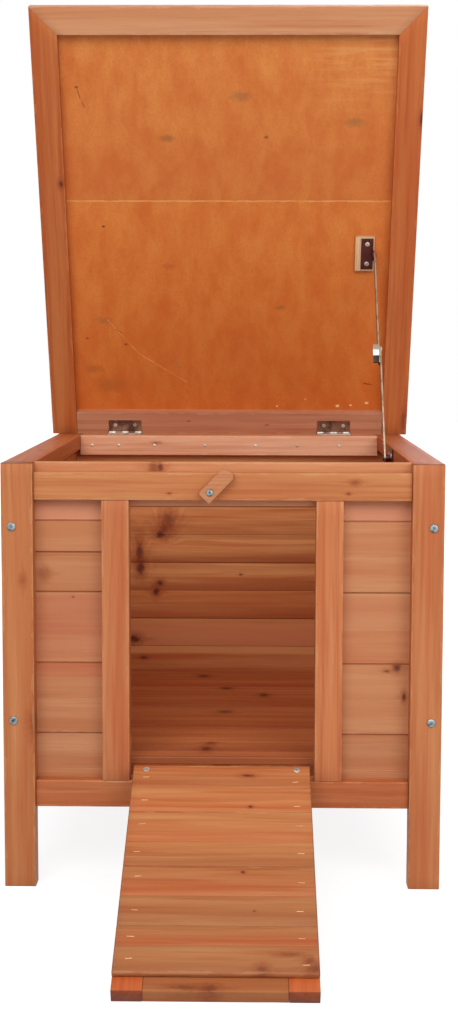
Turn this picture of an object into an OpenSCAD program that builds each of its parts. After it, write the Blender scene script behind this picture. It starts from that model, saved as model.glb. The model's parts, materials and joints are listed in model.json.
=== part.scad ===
// Outdoor cat house: a framed timber cabin on four legs, with a drop-down ramp
// door, a turn button, and a hinged roof lid held open by a folding stay.
// Millimetres, +Z up, +X to the right of the doorway, +Y towards the rear.
// Inside the modules Y starts at the front face of the front posts; placed()
// then moves every piece so that the assembly's footprint is centred on Y.

/* [Cabin] */
// Width over the outer faces of the posts
cabin_w = 500; // [440:5:620]
// Depth from the front face of the front posts to the rear face of the rear posts
cabin_d = 510; // [460:5:640]
// Height of the rim above the ground
cabin_h = 490; // [460:5:540]
// Seen width of each corner post
post_w = 36; // [30:1:42]
// Thickness of posts, side uprights and cap rails
post_t = 20; // [18:1:24]
// Thickness of the front rails and door stiles
rail_t = 15; // [13:1:16]
// Thickness of the wall and floor boards
board_t = 9; // [8:0.5:11]
// Height that one wall board covers
board_pitch = 82.5; // [76:0.5:90]
// Width of the small cut along the long edges of the frame timbers
edge_ease = 0.8; // [0.4:0.1:1.5]

/* [Front wall] */
// Height of the bottom edge of the lowest rails and boards
base_z = 93; // [80:1:100]
// Height of each bottom rail
bottom_rail_h = 31; // [26:1:34]
// Height of the front top rail
top_rail_h = 31.5; // [27:0.5:34]
// How far the front top rail lies below the rim
top_rail_drop = 10.5; // [8:0.5:14]
// Clear width of the doorway
door_w = 212; // [190:1:230]
// Width of the stiles beside the doorway
stile_w = 31; // [26:1:36]
// How far the board above the doorway hangs below the top rail as a door stop
lintel_lap = 8; // [5:0.5:10]

/* [Rear wall and floor] */
// Height of the lowest joint between rear wall boards
rear_first_joint = 138; // [125:0.5:145]
// Height of the top face of the floor boards
floor_z = 145; // [140:1:152]
// Depth that one floor board covers
floor_pitch = 107; // [95:1:115]
// Side of the square floor joists
joist_side = 20; // [16:1:24]
// Height of the two top rails of the rear wall
rear_rail_h = 28; // [24:1:34]
// Thickness of the inner rear rail
rear_inner_t = 16; // [12:1:18]

/* [Roof lid] */
// How far the lid stands out past the posts on each side
lid_side = 10; // [5:1:30]
// Length of the lid from the hinge edge to the front edge
lid_l = 606; // [560:1:640]
// Thickness of the lid frame rails
lid_rail_t = 12; // [12:0.5:20]
// Width of the side rails and the front rail
lid_rail_w = 36; // [30:1:44]
// Width of the rear rail
lid_rear_w = 34; // [30:1:40]
// Thickness of the plywood
ply_t = 5; // [4:0.5:7]
// Distance from the hinge edge to the joint between the plywood pieces
ply_joint = 346; // [310:1:380]
// Thickness of the roofing felt
felt_t = 1.5; // [1:0.5:3]
// Distance that the felt stops short of the lid's edges
felt_inset = 2; // [1:0.5:6]
// Opening angle of the lid in the rest pose
lid_open = 70; // [62:1:76]

/* [Lid hinges] */
// Distance of each hinge from the middle
lid_hinge_x = 153; // [130:1:175]
// Width of a lid hinge
lid_hinge_w = 47.5; // [40:0.5:55]
// Depth of a lid hinge leaf from the pin
lid_hinge_d = 19; // [17:0.5:20]
// Outer radius of the lid hinge knuckles
lid_knuckle_r = 2.75; // [2.5:0.05:3.2]

/* [Ramp door] */
// Width of the ramp
ramp_w = 200; // [170:1:206]
// Thickness of the ramp boards
ramp_board_t = 7; // [6:0.5:8]
// Width of the side battens under the boards
batten_w = 30; // [26:1:36]
// Length of batten left bare at the foot of the ramp
bare_end = 16.5; // [14:0.5:20]
// First board next to the hinges, as a share of the boarded length
first_share = 0.252; // [0.22:0.001:0.27]
// Last board at the foot, as a share of the boarded length
last_share = 0.2; // [0.16:0.001:0.24]
// Gap between the closed ramp and the rail above it
ramp_top_gap = 3.5; // [3:0.1:5]
// Gap between the closed ramp and the boards it stops against
ramp_stop_gap = 0.5; // [0.3:0.1:1]
// Width of a ramp hinge
ramp_hinge_w = 28; // [22:0.5:29]
// Depth of a ramp hinge leaf from the pin
ramp_hinge_d = 22; // [18:0.5:26]
// Outer radius of the ramp hinge knuckles
ramp_knuckle_r = 2.5; // [2.3:0.05:2.8]

/* [Turn button] */
// Distance from the screw to the button's near end
button_near = 10.5; // [9:0.5:10.5]
// Distance from the screw to the button's far tip
button_far = 33; // [26:0.5:33]
// Width of the turn button
button_w = 17.2; // [14:0.2:17.2]
// Thickness of the turn button
button_t = 9; // [7:0.5:11]
// Sideways place of the turn button's screw
button_x = -14; // [-40:1:40]
// Height of the turn button's screw above the bottom edge of the top rail
button_up = 10; // [8:0.5:11]
// Angle of the turn button above the horizontal
button_angle = 46; // [0:1:90]

/* [Lid stay] */
// Distance along the lid from the hinge pin to the stay's upper pivot
stay_lid_reach = 270; // [262:1:275]
// Distance from the hinge pin forward to the stay's lower pivot
stay_wall_reach = 258; // [252:1:262]
// Height of the lower pivot below the rim
stay_wall_drop = 14; // [12:0.5:14]
// Length of the upper arm between pivots
stay_upper_len = 152; // [150:0.5:153]
// Distance from the cap rail's inner face to the plane between the two arms
stay_in = 10; // [8:0.5:12]
// Width of the arms
arm_w = 12; // [10:0.5:13]
// Thickness of the arms
arm_t = 2; // [1.5:0.1:2.5]
// Length of each bracket plate
bracket_l = 44; // [40:1:48]
// Width of each bracket plate
bracket_w = 17; // [16:0.5:17.5]
// Thickness of the bracket plates
bracket_t = 1.5; // [1:0.1:2]
// Width of the pale packing block under the upper bracket
pad_w = 26; // [22:1:28]
// Length of the packing block
pad_l = 50; // [48:1:56]
// Thickness of the packing block
pad_t = 5; // [4:0.5:5.5]
// Length of the bent thumb tab at the elbow
elbow_tab_l = 28; // [20:1:30]
// Distance from the elbow pivot down to the middle of the thumb tab
elbow_tab_drop = 11; // [0:0.5:11]
// Width of the bent thumb tab at the elbow
elbow_tab_w = 9; // [7:0.5:11]

/* [Fasteners and fits] */
// Radius of the corner screw heads
corner_head_r = 4.6; // [4:0.1:5.5]
// Radius of the corner screw shanks
corner_shank_r = 2.2; // [1.8:0.1:2.6]
// Length of the corner screws under the head
corner_screw_l = 42; // [30:1:50]
// Distance of the corner screws from the cabin's outer side
corner_screw_in = 12; // [8:0.5:16]
// Height of the lower corner screws
corner_screw_low = 195; // [150:1:240]
// Height of the upper corner screws
corner_screw_high = 418; // [380:1:440]
// Radius of the small screws' shanks
small_shank_r = 1.5; // [1.2:0.1:1.8]
// Radius of the small screws' countersunk heads
small_head_r = 2.8; // [2.4:0.1:3.2]
// Thickness of the hinge leaves
leaf_t = 1.2; // [1:0.1:1.4]
// Gap between the two leaves of a closed lid hinge
leaf_gap = 0.3; // [0.2:0.05:0.5]
// Radius of the hinge pins
pin_r = 1.5; // [1.2:0.05:1.6]
// Radius of the stay pivots
pivot_r = 2.5; // [2:0.1:2.8]
// Running clearance, on the radius, round every pin and screw
fit = 0.05; // [0.03:0.01:0.08]
// Clearance between neighbours that move past each other
slip = 0.3; // [0.25:0.05:0.5]

/* [Hidden] */
$fn = 32;

// Colours
pine = [0.77, 0.50, 0.32];
pine_board = [0.75, 0.48, 0.34];
pine_dark = [0.60, 0.34, 0.20];
plywood = [0.80, 0.42, 0.18];
pale_wood = [0.83, 0.65, 0.48];
felt_green = [0.18, 0.26, 0.20];
zinc = [0.72, 0.75, 0.78];
dark_steel = [0.22, 0.18, 0.18];

// Main planes of the cabin
half_w = cabin_w / 2;
post_in = half_w - post_w;
side_in = half_w - post_t;
room_x = side_in - board_t;
front_back = post_t;
room_front = front_back + board_t;
rear_face = cabin_d - post_t;
room_rear = rear_face - board_t;
rail_front = post_t - rail_t;
rail_top = cabin_h - top_rail_drop;
rail_bottom = rail_top - top_rail_h;
ledge_z = base_z + bottom_rail_h;
door_half = door_w / 2;
cap_bottom = cabin_h - post_t;
lintel_z = rail_bottom - lintel_lap;

// Board section
bevel = 1.2;
centre_bevel = 0.8;
tongue_t = 3;
tongue_l = 4;
slot_l = 4.5;
tongue_gap = 0.15;

// Lid hinge line
leaf_rise = leaf_t + leaf_gap / 2;
hinge_back = lid_knuckle_r + slip;
hinge_y = cabin_d + hinge_back;
lid_edge = slip / 2 - lid_knuckle_r;
lid_notch_ease = 1;
hinge_z = cabin_h + leaf_rise;
lid_half = half_w + lid_side;
ply_z = leaf_rise + lid_rail_t;
felt_z = ply_z + ply_t;
lid_top = felt_z + felt_t;
lid_far = lid_edge + lid_l;
hinge_knuckles = 5;
hinge_hole_x = 0.30;
hinge_hole_y = 0.62;
hinge_screw_l = 12;

// Ramp hinge line, and the ramp measured from it with the door closed
pivot_y = rail_front - ramp_knuckle_r;
pivot_z = ledge_z + leaf_rise;
ramp_under = ramp_knuckle_r;
batten_t = rail_t - ramp_stop_gap;
ramp_mid = ramp_under + batten_t;
ramp_face = ramp_mid + ramp_board_t;
ramp_start = leaf_rise;
ramp_end = rail_bottom - ramp_top_gap - pivot_z;
boards_end = ramp_end - bare_end;
ramp_half = ramp_w / 2;
batten_x = ramp_half - batten_w / 2;
boarded = boards_end - ramp_start;
first_board = boarded * first_share;
ramp_pitch = boarded * (1 - first_share - last_share) / 2;
ramp_joints = [
    ramp_start,
    ramp_start + first_board,
    ramp_start + first_board + ramp_pitch,
    ramp_start + first_board + 2 * ramp_pitch,
    boards_end
];
// Angle that swings the ramp from closed until its foot meets the ground
ramp_open = acos(-pivot_z / norm([ramp_under, ramp_end])) + atan2(ramp_under, ramp_end);

// Stay pivots in the rest pose, as [Y, Z] from the lid hinge line
stay_top = [-stay_lid_reach * cos(lid_open), stay_lid_reach * sin(lid_open)];
stay_foot = [-stay_wall_reach, -stay_wall_drop - leaf_rise];
stay_line = stay_top - stay_foot;
stay_len = norm(stay_line);
stay_lower_len = stay_len - stay_upper_len;
stay_angle = atan2(stay_line[1], stay_line[0]);
stay_x = post_in - stay_in;
upper_arm_x = stay_x - slip / 2 - arm_t;
lower_arm_x = stay_x + slip / 2;
arm_r = arm_w / 2;
rivet_head_r = 4;
rivet_head_t = 1.2;
bracket_ear_edge = 1;
bracket_ear_r = arm_r + bracket_ear_edge;
bracket_boss_r = 5;
bracket_screw_in = 8;
bracket_head_r = 3.4;
bracket_head_t = 1.6;
bracket_screw_l = 9;

// Stay when the lid is shut: the elbow lies forward of both pivots
shut_line = [-stay_lid_reach, 0] - stay_foot;
shut_len = norm(shut_line);
shut_corner = (stay_lower_len * stay_lower_len + shut_len * shut_len
    - stay_upper_len * stay_upper_len) / (2 * stay_lower_len * shut_len);
shut_lower = atan2(shut_line[1], shut_line[0]) + acos(shut_corner);
shut_elbow = stay_foot + stay_lower_len * [cos(shut_lower), sin(shut_lower)];
shut_reach = shut_elbow - [-stay_lid_reach, 0];
shut_upper = atan2(shut_reach[1], shut_reach[0]);
lower_turn = shut_lower - stay_angle;
upper_turn = (shut_upper + 360) % 360 - (stay_angle + 180) - lid_open;

// Turn button
button_z = rail_bottom + button_up;
button_y = rail_front - slip - button_t;
button_head_r = 4;
button_head_t = 2.4;
button_shank_r = 2.2;
button_screw_l = 12;
button_ease = 1.2;
button_skew = 4.5;

// Pan heads narrow to this share of their radius at the top
head_taper = 0.7;

// Rear rail nails, as shares of the rail's length from its left end
nail_places = [0.04, 0.13, 0.25, 0.42, 0.59, 0.73, 0.87];
nail_r = 1.4;
nail_head_r = 2.2;
nail_head_t = 0.8;

// Ramp staples and screws
staple_l = 10;
staple_wire = 1.2;
staple_crown = 0.8;
staple_leg = 13;
ramp_screw_in = 8;
ramp_screw_short = 2;
ramp_head_r = 4;
ramp_head_t = 1.2;

// Footprint of the whole assembly in the rest pose, along Y
foot_y = pivot_y + ramp_mid * cos(ramp_open) - ramp_end * sin(ramp_open);
ply_back = felt_z * sin(lid_open) - lid_edge * cos(lid_open);
felt_back = lid_top * sin(lid_open) - (lid_edge + felt_inset) * cos(lid_open);
tail_y = hinge_y + max(ply_back, felt_back);
centre_y = (foot_y + tail_y) / 2;

// Moves a piece from the building frame into the part's frame
module placed() {
    translate([0, -centre_y, 0])
        children();
}

// Turns a piece drawn on the shut lid, measured from the hinge line
module on_lid() {
    translate([0, hinge_y, hinge_z])
        rotate([-lid_open, 0, 0])
            children();
}

// Turns a piece drawn on the shut ramp, measured from its hinge line
module on_ramp() {
    translate([0, pivot_y, pivot_z])
        rotate([ramp_open, 0, 0])
            children();
}

// Turns a piece drawn along the straight stay, measured from its lower pivot
module on_stay() {
    translate([0, hinge_y + stay_foot[0], hinge_z + stay_foot[1]])
        rotate([stay_angle, 0, 0])
            children();
}

// Rectangle with its four corners cut by the easing
module eased(a, b, cut = edge_ease) {
    polygon([
        [cut, 0], [a - cut, 0], [a, cut], [a, b - cut],
        [a - cut, b], [cut, b], [0, b - cut], [0, cut]
    ]);
}

// Timbers between two corners, with their grain along X, Y or Z
module timber_x(low, high) {
    size = high - low;
    translate(low)
        rotate([90, 0, 90])
            linear_extrude(size[0])
                eased(size[1], size[2]);
}

module timber_y(low, high) {
    size = high - low;
    translate([low[0], high[1], low[2]])
        rotate([90, 0, 0])
            linear_extrude(size[1])
                eased(size[0], size[2]);
}

module timber_z(low, high) {
    size = high - low;
    translate(low)
        linear_extrude(size[2])
            eased(size[0], size[1]);
}

// Section of a matched board: thick along X, high along Y, with a V-cut at
// each joint and one centre bead line; cut boards lose their tongue or slot
module board_section(t, h, bead, tongue, slot) {
    mid = t / 2;
    wide = tongue_t / 2 + tongue_gap;
    thin = tongue_t / 2;
    low_edge = slot
        ? [[mid - wide, 0], [mid - wide, slot_l], [mid + wide, slot_l], [mid + wide, 0]]
        : [];
    top_edge = tongue
        ? [[mid + thin, h], [mid + thin, h + tongue_l],
           [mid - thin, h + tongue_l], [mid - thin, h]]
        : [];
    has_bead = bead > 2 * bevel && bead < h - 2 * bevel;
    back_bead = has_bead
        ? [[t, bead - centre_bevel], [t - centre_bevel, bead], [t, bead + centre_bevel]]
        : [];
    face_bead = has_bead
        ? [[0, bead + centre_bevel], [centre_bevel, bead], [0, bead - centre_bevel]]
        : [];
    polygon(concat(
        [[bevel, 0]], low_edge, [[t - bevel, 0], [t, bevel]], back_bead,
        [[t, h - bevel], [t - bevel, h]], top_edge,
        [[bevel, h], [0, h - bevel]], face_bead, [[0, bevel]]
    ));
}

// Wall board along X, its face towards -Y, standing at height z
module board_x(x0, x1, y, z, h, bead, tongue, slot, t = board_t) {
    translate([x0, y, z])
        rotate([90, 0, 90])
            linear_extrude(x1 - x0)
                board_section(t, h, bead, tongue, slot);
}

// Wall board along Y, its face towards -X
module board_y(x, y0, y1, z, h, bead, tongue, slot) {
    translate([x, y1, z])
        rotate([90, 0, 0])
            linear_extrude(y1 - y0)
                board_section(board_t, h, bead, tongue, slot);
}

// Countersunk screw: flat head on Z = 0, shank down -Z; grow widens it to a hole
module small_screw(grow = 0, length = hinge_screw_l) {
    translate([0, 0, -leaf_t])
        cylinder(h = leaf_t, r1 = small_shank_r + grow, r2 = small_head_r + grow);
    translate([0, 0, -length])
        cylinder(h = length, r = small_shank_r + grow);
}

// Pan-head screw: head seated on Z = 0, shank down -Z
module pan_screw(head_r, head_t, shank_r, length) {
    cylinder(h = head_t / 2, r = head_r);
    translate([0, 0, head_t / 2])
        cylinder(h = head_t / 2, r1 = head_r, r2 = head_r * head_taper);
    translate([0, 0, -length])
        cylinder(h = length, r = shank_r);
}

// Screw hole from Z = 0 down -Z, a little deeper than the screw
module screw_hole(shank_r, length) {
    translate([0, 0, -length - slip])
        cylinder(h = length + 2 * slip, r = shank_r + fit);
}

// Places of the two screws in a hinge leaf of the given width and depth
module at_leaf_holes(w, d) {
    for (side = [-1, 1])
        translate([side * w * hinge_hole_x, d * hinge_hole_y, 0])
            children();
}

// Hinge leaf: pin along X at the origin, plate along +Y, its pin-side face at
// height face_z and the plate towards +Z; first picks its knuckles, and the
// screw heads lie flush with the open face that looks towards the other leaf
module hinge_leaf(w, d, knuckle_r, face_z, first) {
    step = w / hinge_knuckles;
    difference() {
        union() {
            translate([-w / 2, knuckle_r + slip, face_z])
                cube([w, d - knuckle_r - slip, leaf_t]);
            for (i = [first:2:hinge_knuckles - 1])
                translate([-w / 2 + i * step + slip / 2, 0, 0]) {
                    rotate([0, 90, 0])
                        cylinder(h = step - slip, r = knuckle_r);
                    translate([0, 0, face_z])
                        cube([step - slip, knuckle_r + slip, leaf_t]);
                }
        }
        translate([-w / 2 - slip, 0, 0])
            rotate([0, 90, 0])
                cylinder(h = w + 2 * slip, r = pin_r + fit);
        at_leaf_holes(w, d)
            translate([0, 0, face_z])
                rotate([180, 0, 0])
                    small_screw(fit);
    }
}

// The two lid hinges and the two ramp hinges stand left and right
module lid_hinge_pair() {
    for (side = [-1, 1])
        translate([side * lid_hinge_x, 0, 0])
            children();
}

module ramp_hinge_pair() {
    for (side = [-1, 1])
        translate([side * batten_x, 0, 0])
            children();
}

// Frames in which a leaf is drawn: fixed leaves on the cabin, moving leaves
// on the shut lid or the shut ramp
module lid_fixed_frame() {
    translate([0, hinge_y, hinge_z])
        lid_hinge_pair()
            rotate([180, 0, 0])
                children();
}

module lid_moving_frame() {
    lid_hinge_pair()
        rotate([0, 0, 180])
            children();
}

module ramp_fixed_frame() {
    translate([0, pivot_y, pivot_z])
        ramp_hinge_pair()
            rotate([-90, 0, 0])
                children();
}

module ramp_moving_frame() {
    ramp_hinge_pair()
        mirror([0, 0, 1])
            rotate([-90, 0, 0])
                children();
}

lid_leaf_z = leaf_gap / 2;
ramp_leaf_z = ramp_knuckle_r - leaf_t;

// Screws of one leaf, heads on the face that looks at the pin
module leaf_screws(w, d, face_z, grow = 0) {
    at_leaf_holes(w, d)
        translate([0, 0, face_z])
            rotate([180, 0, 0])
                small_screw(grow);
}

module lid_fixed_screws(grow = 0) {
    lid_fixed_frame()
        leaf_screws(lid_hinge_w, lid_hinge_d, lid_leaf_z, grow);
}

module lid_moving_screws(grow = 0) {
    lid_moving_frame()
        leaf_screws(lid_hinge_w, lid_hinge_d, lid_leaf_z, grow);
}

module ramp_fixed_screws(grow = 0) {
    ramp_fixed_frame()
        leaf_screws(ramp_hinge_w, ramp_hinge_d, ramp_leaf_z, grow);
}

module ramp_moving_screws(grow = 0) {
    ramp_moving_frame()
        leaf_screws(ramp_hinge_w, ramp_hinge_d, ramp_leaf_z, grow);
}

// Corner screws stand in front of the front posts and behind the rear posts
module at_corner_screws() {
    for (side = [-1, 1], z = [corner_screw_low, corner_screw_high]) {
        translate([side * (half_w - corner_screw_in), 0, z])
            rotate([90, 0, 0])
                children();
        translate([side * (half_w - corner_screw_in), cabin_d, z])
            rotate([-90, 0, 0])
                children();
    }
}

module corner_holes() {
    at_corner_screws()
        screw_hole(corner_shank_r, corner_screw_l);
}

// Corner posts, with their outer face at the front or the rear
module post(x0, y0) {
    difference() {
        timber_z([x0, y0, 0], [x0 + post_w, y0 + post_t, cabin_h]);
        corner_holes();
    }
}

// Side uprights stand behind the posts and carry the side boards
module upright(x0, y0) {
    difference() {
        timber_z([x0, y0, 0], [x0 + post_t, y0 + post_w, cap_bottom]);
        corner_holes();
    }
}

module front_left_post() {
    color(pine)
        placed()
            post(-half_w, 0);
}

module front_right_post() {
    color(pine)
        placed()
            post(post_in, 0);
}

module rear_left_post() {
    color(pine)
        placed()
            post(-half_w, rear_face);
}

module rear_right_post() {
    color(pine)
        placed()
            post(post_in, rear_face);
}

module left_front_upright() {
    color(pine)
        placed()
            upright(-half_w, front_back);
}

module left_rear_upright() {
    color(pine)
        placed()
            upright(-half_w, rear_face - post_w);
}

module right_front_upright() {
    color(pine)
        placed()
            upright(side_in, front_back);
}

module right_rear_upright() {
    color(pine)
        placed()
            upright(side_in, rear_face - post_w);
}

// Pivot axis of the turn button, from its front face inwards along -Z
module at_button_screw() {
    translate([button_x, button_y, button_z])
        rotate([90, 0, 0])
            children();
}

module front_top_rail() {
    color(pine)
        placed()
            difference() {
                timber_x([-post_in, rail_front, rail_bottom], [post_in, front_back, rail_top]);
                at_button_screw()
                    screw_hole(button_shank_r, button_t + button_screw_l);
            }
}

module front_bottom_rail() {
    color(pine)
        placed()
            difference() {
                timber_x([-post_in, rail_front, base_z], [post_in, front_back, ledge_z]);
                ramp_fixed_screws(fit);
            }
}

module door_stile(x0) {
    timber_z([x0, rail_front, ledge_z], [x0 + stile_w, front_back, rail_bottom]);
}

module left_door_stile() {
    color(pine)
        placed()
            door_stile(-door_half - stile_w);
}

module right_door_stile() {
    color(pine)
        placed()
            door_stile(door_half);
}

// Lower bracket's screws, on the inner face of the right cap rail
module at_wall_bracket_screws() {
    for (end = [-1, 1])
        translate([
            post_in - bracket_t,
            hinge_y + stay_foot[0] + end * (bracket_l / 2 - bracket_screw_in),
            cap_bottom + post_t / 2
        ])
            rotate([0, -90, 0])
                children();
}

module left_cap_rail() {
    color(pine)
        placed()
            timber_y([-half_w, front_back, cap_bottom], [-post_in, rear_face, cabin_h]);
}

module right_cap_rail() {
    color(pine)
        placed()
            difference() {
                timber_y([post_in, front_back, cap_bottom], [half_w, rear_face, cabin_h]);
                at_wall_bracket_screws()
                    screw_hole(small_shank_r, bracket_screw_l);
            }
}

// Side bottom rails lie between the uprights, set back as the front ones are
module side_bottom_rail(x0) {
    timber_y([x0, front_back + post_w, base_z], [x0 + rail_t, rear_face - post_w, ledge_z]);
}

module left_bottom_rail() {
    color(pine)
        placed()
            side_bottom_rail(-side_in - rail_t);
}

module right_bottom_rail() {
    color(pine)
        placed()
            side_bottom_rail(side_in);
}

// Nails through the inner rear rail into the outer one
module at_nails() {
    for (place = nail_places)
        translate([-post_in + 2 * post_in * place, room_rear - rear_inner_t, cabin_h - rear_rail_h / 2])
            rotate([90, 0, 0])
                children();
}

module nail(grow = 0) {
    translate([0, 0, -nail_head_t])
        cylinder(h = nail_head_t + grow, r = nail_head_r + grow);
    translate([0, 0, -rear_inner_t - board_t - rail_t / 2])
        cylinder(h = rear_inner_t + board_t + rail_t / 2, r = nail_r + grow);
}

module rear_top_rail() {
    color(pine)
        placed()
            difference() {
                timber_x([-post_in, rear_face, cabin_h - rear_rail_h], [post_in, cabin_d, cabin_h]);
                at_nails()
                    nail(fit);
                lid_fixed_screws(fit);
            }
}

module rear_bottom_rail() {
    color(pine)
        placed()
            timber_x([-post_in, rear_face, base_z], [post_in, rear_face + rail_t, ledge_z]);
}

module rear_inner_rail() {
    color(pine_board)
        placed()
            difference() {
                timber_x(
                    [-post_in, room_rear - rear_inner_t, cabin_h - rear_rail_h],
                    [post_in, room_rear, cabin_h]
                );
                at_nails()
                    nail(fit);
            }
}

// Joists along both side walls and one in the middle, with noggings behind the doorway's ledge
module floor_joists() {
    joist_top = floor_z - board_t;
    nogging_l = room_x - 1.5 * joist_side - 2 * slip;
    color(pine_dark)
        placed() {
            for (x0 = [-room_x, -joist_side / 2, room_x - joist_side])
                timber_y(
                    [x0, room_front, joist_top - joist_side],
                    [x0 + joist_side, room_rear, joist_top]
                );
            for (x0 = [joist_side - room_x + slip, joist_side / 2 + slip])
                timber_x(
                    [x0, room_front, joist_top - joist_side],
                    [x0 + nogging_l, room_front + joist_side, joist_top]
                );
        }
}

// Floor boards are laid from the rear wall, and the front one is cut down
module floor_boards() {
    room_d = room_rear - room_front;
    full = floor((room_d - 2 * bevel - slot_l) / floor_pitch);
    color(pine_dark)
        placed() {
            for (i = [1:full])
                translate([-room_x, room_rear - i * floor_pitch, floor_z])
                    rotate([0, 90, 0])
                        linear_extrude(2 * room_x)
                            board_section(board_t, floor_pitch, 0, i > 1, true);
            translate([-room_x, room_front, floor_z])
                rotate([0, 90, 0])
                    linear_extrude(2 * room_x)
                        board_section(board_t, room_d - full * floor_pitch, 0, true, false);
        }
}

// Space that a wall's top board leaves beside the cap rails
module cap_notches(y0, y1) {
    for (x0 = [-half_w, post_in])
        translate([x0, y0 - slip, cap_bottom])
            cube([post_w, y1 - y0 + 2 * slip, post_t + slip]);
}

// Full-width board above the doorway, which it laps as a stop
front_joints = floor((lintel_z - base_z) / board_pitch);
top_joint = base_z + front_joints * board_pitch;

module front_top_board() {
    color(pine_board)
        placed()
            difference() {
                board_x(-side_in, side_in, front_back, top_joint, cabin_h - top_joint,
                    board_pitch / 2, false, true);
                cap_notches(front_back, room_front);
                translate([-door_half, front_back - slip, top_joint - slip])
                    cube([door_w, board_t + 2 * slip, lintel_z - top_joint + slip]);
            }
}

// Full-width board behind the bottom rail, cut away at the doorway
module front_bottom_board() {
    color(pine_board)
        placed()
            difference() {
                board_x(-side_in, side_in, front_back, base_z, board_pitch,
                    board_pitch / 2, true, false);
                translate([-door_half, front_back - slip, ledge_z])
                    cube([door_w, board_t + 2 * slip, board_pitch + tongue_l]);
            }
}

// Boards beside the doorway
module front_side_boards(x0, x1) {
    for (i = [1:front_joints - 1])
        board_x(x0, x1, front_back, base_z + i * board_pitch, board_pitch,
            board_pitch / 2, true, true);
}

module front_left_boards() {
    color(pine_board)
        placed()
            front_side_boards(-side_in, -door_half);
}

module front_right_boards() {
    color(pine_board)
        placed()
            front_side_boards(door_half, side_in);
}

// Side walls: whole boards from the base, and one cut to fit under the cap
module side_wall(x) {
    wall_h = cap_bottom - base_z;
    whole = floor((wall_h - slot_l - bevel) / board_pitch);
    for (i = [0:whole - 1])
        board_y(x, room_front, room_rear, base_z + i * board_pitch, board_pitch,
            board_pitch / 2, true, i > 0);
    board_y(x, room_front, room_rear, base_z + whole * board_pitch,
        wall_h - whole * board_pitch, board_pitch / 2, false, true);
}

module left_wall_boards() {
    color(pine_board)
        placed()
            side_wall(-side_in);
}

module right_wall_boards() {
    color(pine_board)
        placed()
            side_wall(room_x);
}

// Rear wall: the lowest and the highest boards are cut to fit
module rear_wall_boards() {
    whole = floor((cabin_h - rear_first_joint - slot_l - bevel) / board_pitch);
    last_z = rear_first_joint + whole * board_pitch;
    color(pine_board)
        placed()
            difference() {
                union() {
                    board_x(-side_in, side_in, room_rear, base_z,
                        rear_first_joint - base_z, 0, true, false);
                    for (i = [0:whole - 1])
                        board_x(-side_in, side_in, room_rear, rear_first_joint + i * board_pitch,
                            board_pitch, board_pitch / 2, true, true);
                    board_x(-side_in, side_in, room_rear, last_z,
                        cabin_h - last_z, board_pitch / 2, false, true);
                }
                cap_notches(room_rear, rear_face);
                at_nails()
                    nail(fit);
            }
}

module corner_screws() {
    color(zinc)
        placed()
            at_corner_screws()
                pan_screw(corner_head_r, corner_head_r / 2, corner_shank_r, corner_screw_l);
}

module rear_rail_nails() {
    color(zinc)
        placed()
            at_nails()
                nail();
}

module lid_hinge_fixed_leaves() {
    color(zinc)
        placed()
            lid_fixed_frame()
                hinge_leaf(lid_hinge_w, lid_hinge_d, lid_knuckle_r, lid_leaf_z, 0);
}

// Pins of the two lid hinges and the two ramp hinges
module hinge_pin(w) {
    translate([-w / 2, 0, 0])
        rotate([0, 90, 0])
            cylinder(h = w, r = pin_r);
}

module hinge_pins() {
    color(zinc)
        placed() {
            translate([0, hinge_y, hinge_z])
                lid_hinge_pair()
                    hinge_pin(lid_hinge_w);
            translate([0, pivot_y, pivot_z])
                ramp_hinge_pair()
                    hinge_pin(ramp_hinge_w);
        }
}

module cabin_small_screws() {
    color(zinc)
        placed() {
            lid_fixed_screws();
            ramp_fixed_screws();
            at_wall_bracket_screws()
                pan_screw(bracket_head_r, bracket_head_t, small_shank_r, bracket_screw_l);
        }
}

// Rivet through an arm: shank from Z = 0 up, headed beyond the arm
module rivet(length) {
    cylinder(h = length + slip, r = pivot_r);
    translate([0, 0, length + slip / 2])
        cylinder(h = rivet_head_t, r = rivet_head_r);
}

// Plate on the cap rail, with a boss and rivet that carry the lower arm
module stay_wall_bracket() {
    boss_l = post_in - bracket_t - lower_arm_x - arm_t - slip / 2;
    color(dark_steel)
        placed()
            difference() {
                union() {
                    translate([
                        post_in - bracket_t,
                        hinge_y + stay_foot[0] - bracket_l / 2,
                        cap_bottom + (post_t - bracket_w) / 2
                    ])
                        cube([bracket_t, bracket_l, bracket_w]);
                    translate([post_in - bracket_t, hinge_y + stay_foot[0], hinge_z + stay_foot[1]])
                        rotate([0, -90, 0]) {
                            cylinder(h = boss_l, r = bracket_boss_r);
                            translate([0, 0, boss_l])
                                rivet(arm_t + slip / 2);
                        }
                }
                at_wall_bracket_screws()
                    screw_hole(small_shank_r, bracket_screw_l);
            }
}

module ramp_hinge_fixed_leaves() {
    color(zinc)
        placed()
            ramp_fixed_frame()
                hinge_leaf(ramp_hinge_w, ramp_hinge_d, ramp_knuckle_r, ramp_leaf_z, 0);
}

module turn_button_screw() {
    color(zinc)
        placed()
            at_button_screw()
                translate([0, 0, slip / 2])
                    pan_screw(button_head_r, button_head_t, button_shank_r,
                        button_t + button_screw_l);
}

// Lid timbers are drawn flat: X across, -Y away from the hinge edge
module lid_slab(points, z, t) {
    translate([0, 0, z])
        linear_extrude(t)
            polygon([for (p = points) [p[0], -p[1]]]);
}

module lid_front_rail() {
    near = lid_far - lid_rail_w;
    inner = lid_half - lid_rail_w;
    color(pine)
        placed()
            on_lid()
                lid_slab([[-lid_half, lid_far], [lid_half, lid_far], [inner, near], [-inner, near]],
                    leaf_rise, lid_rail_t);
}

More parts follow.
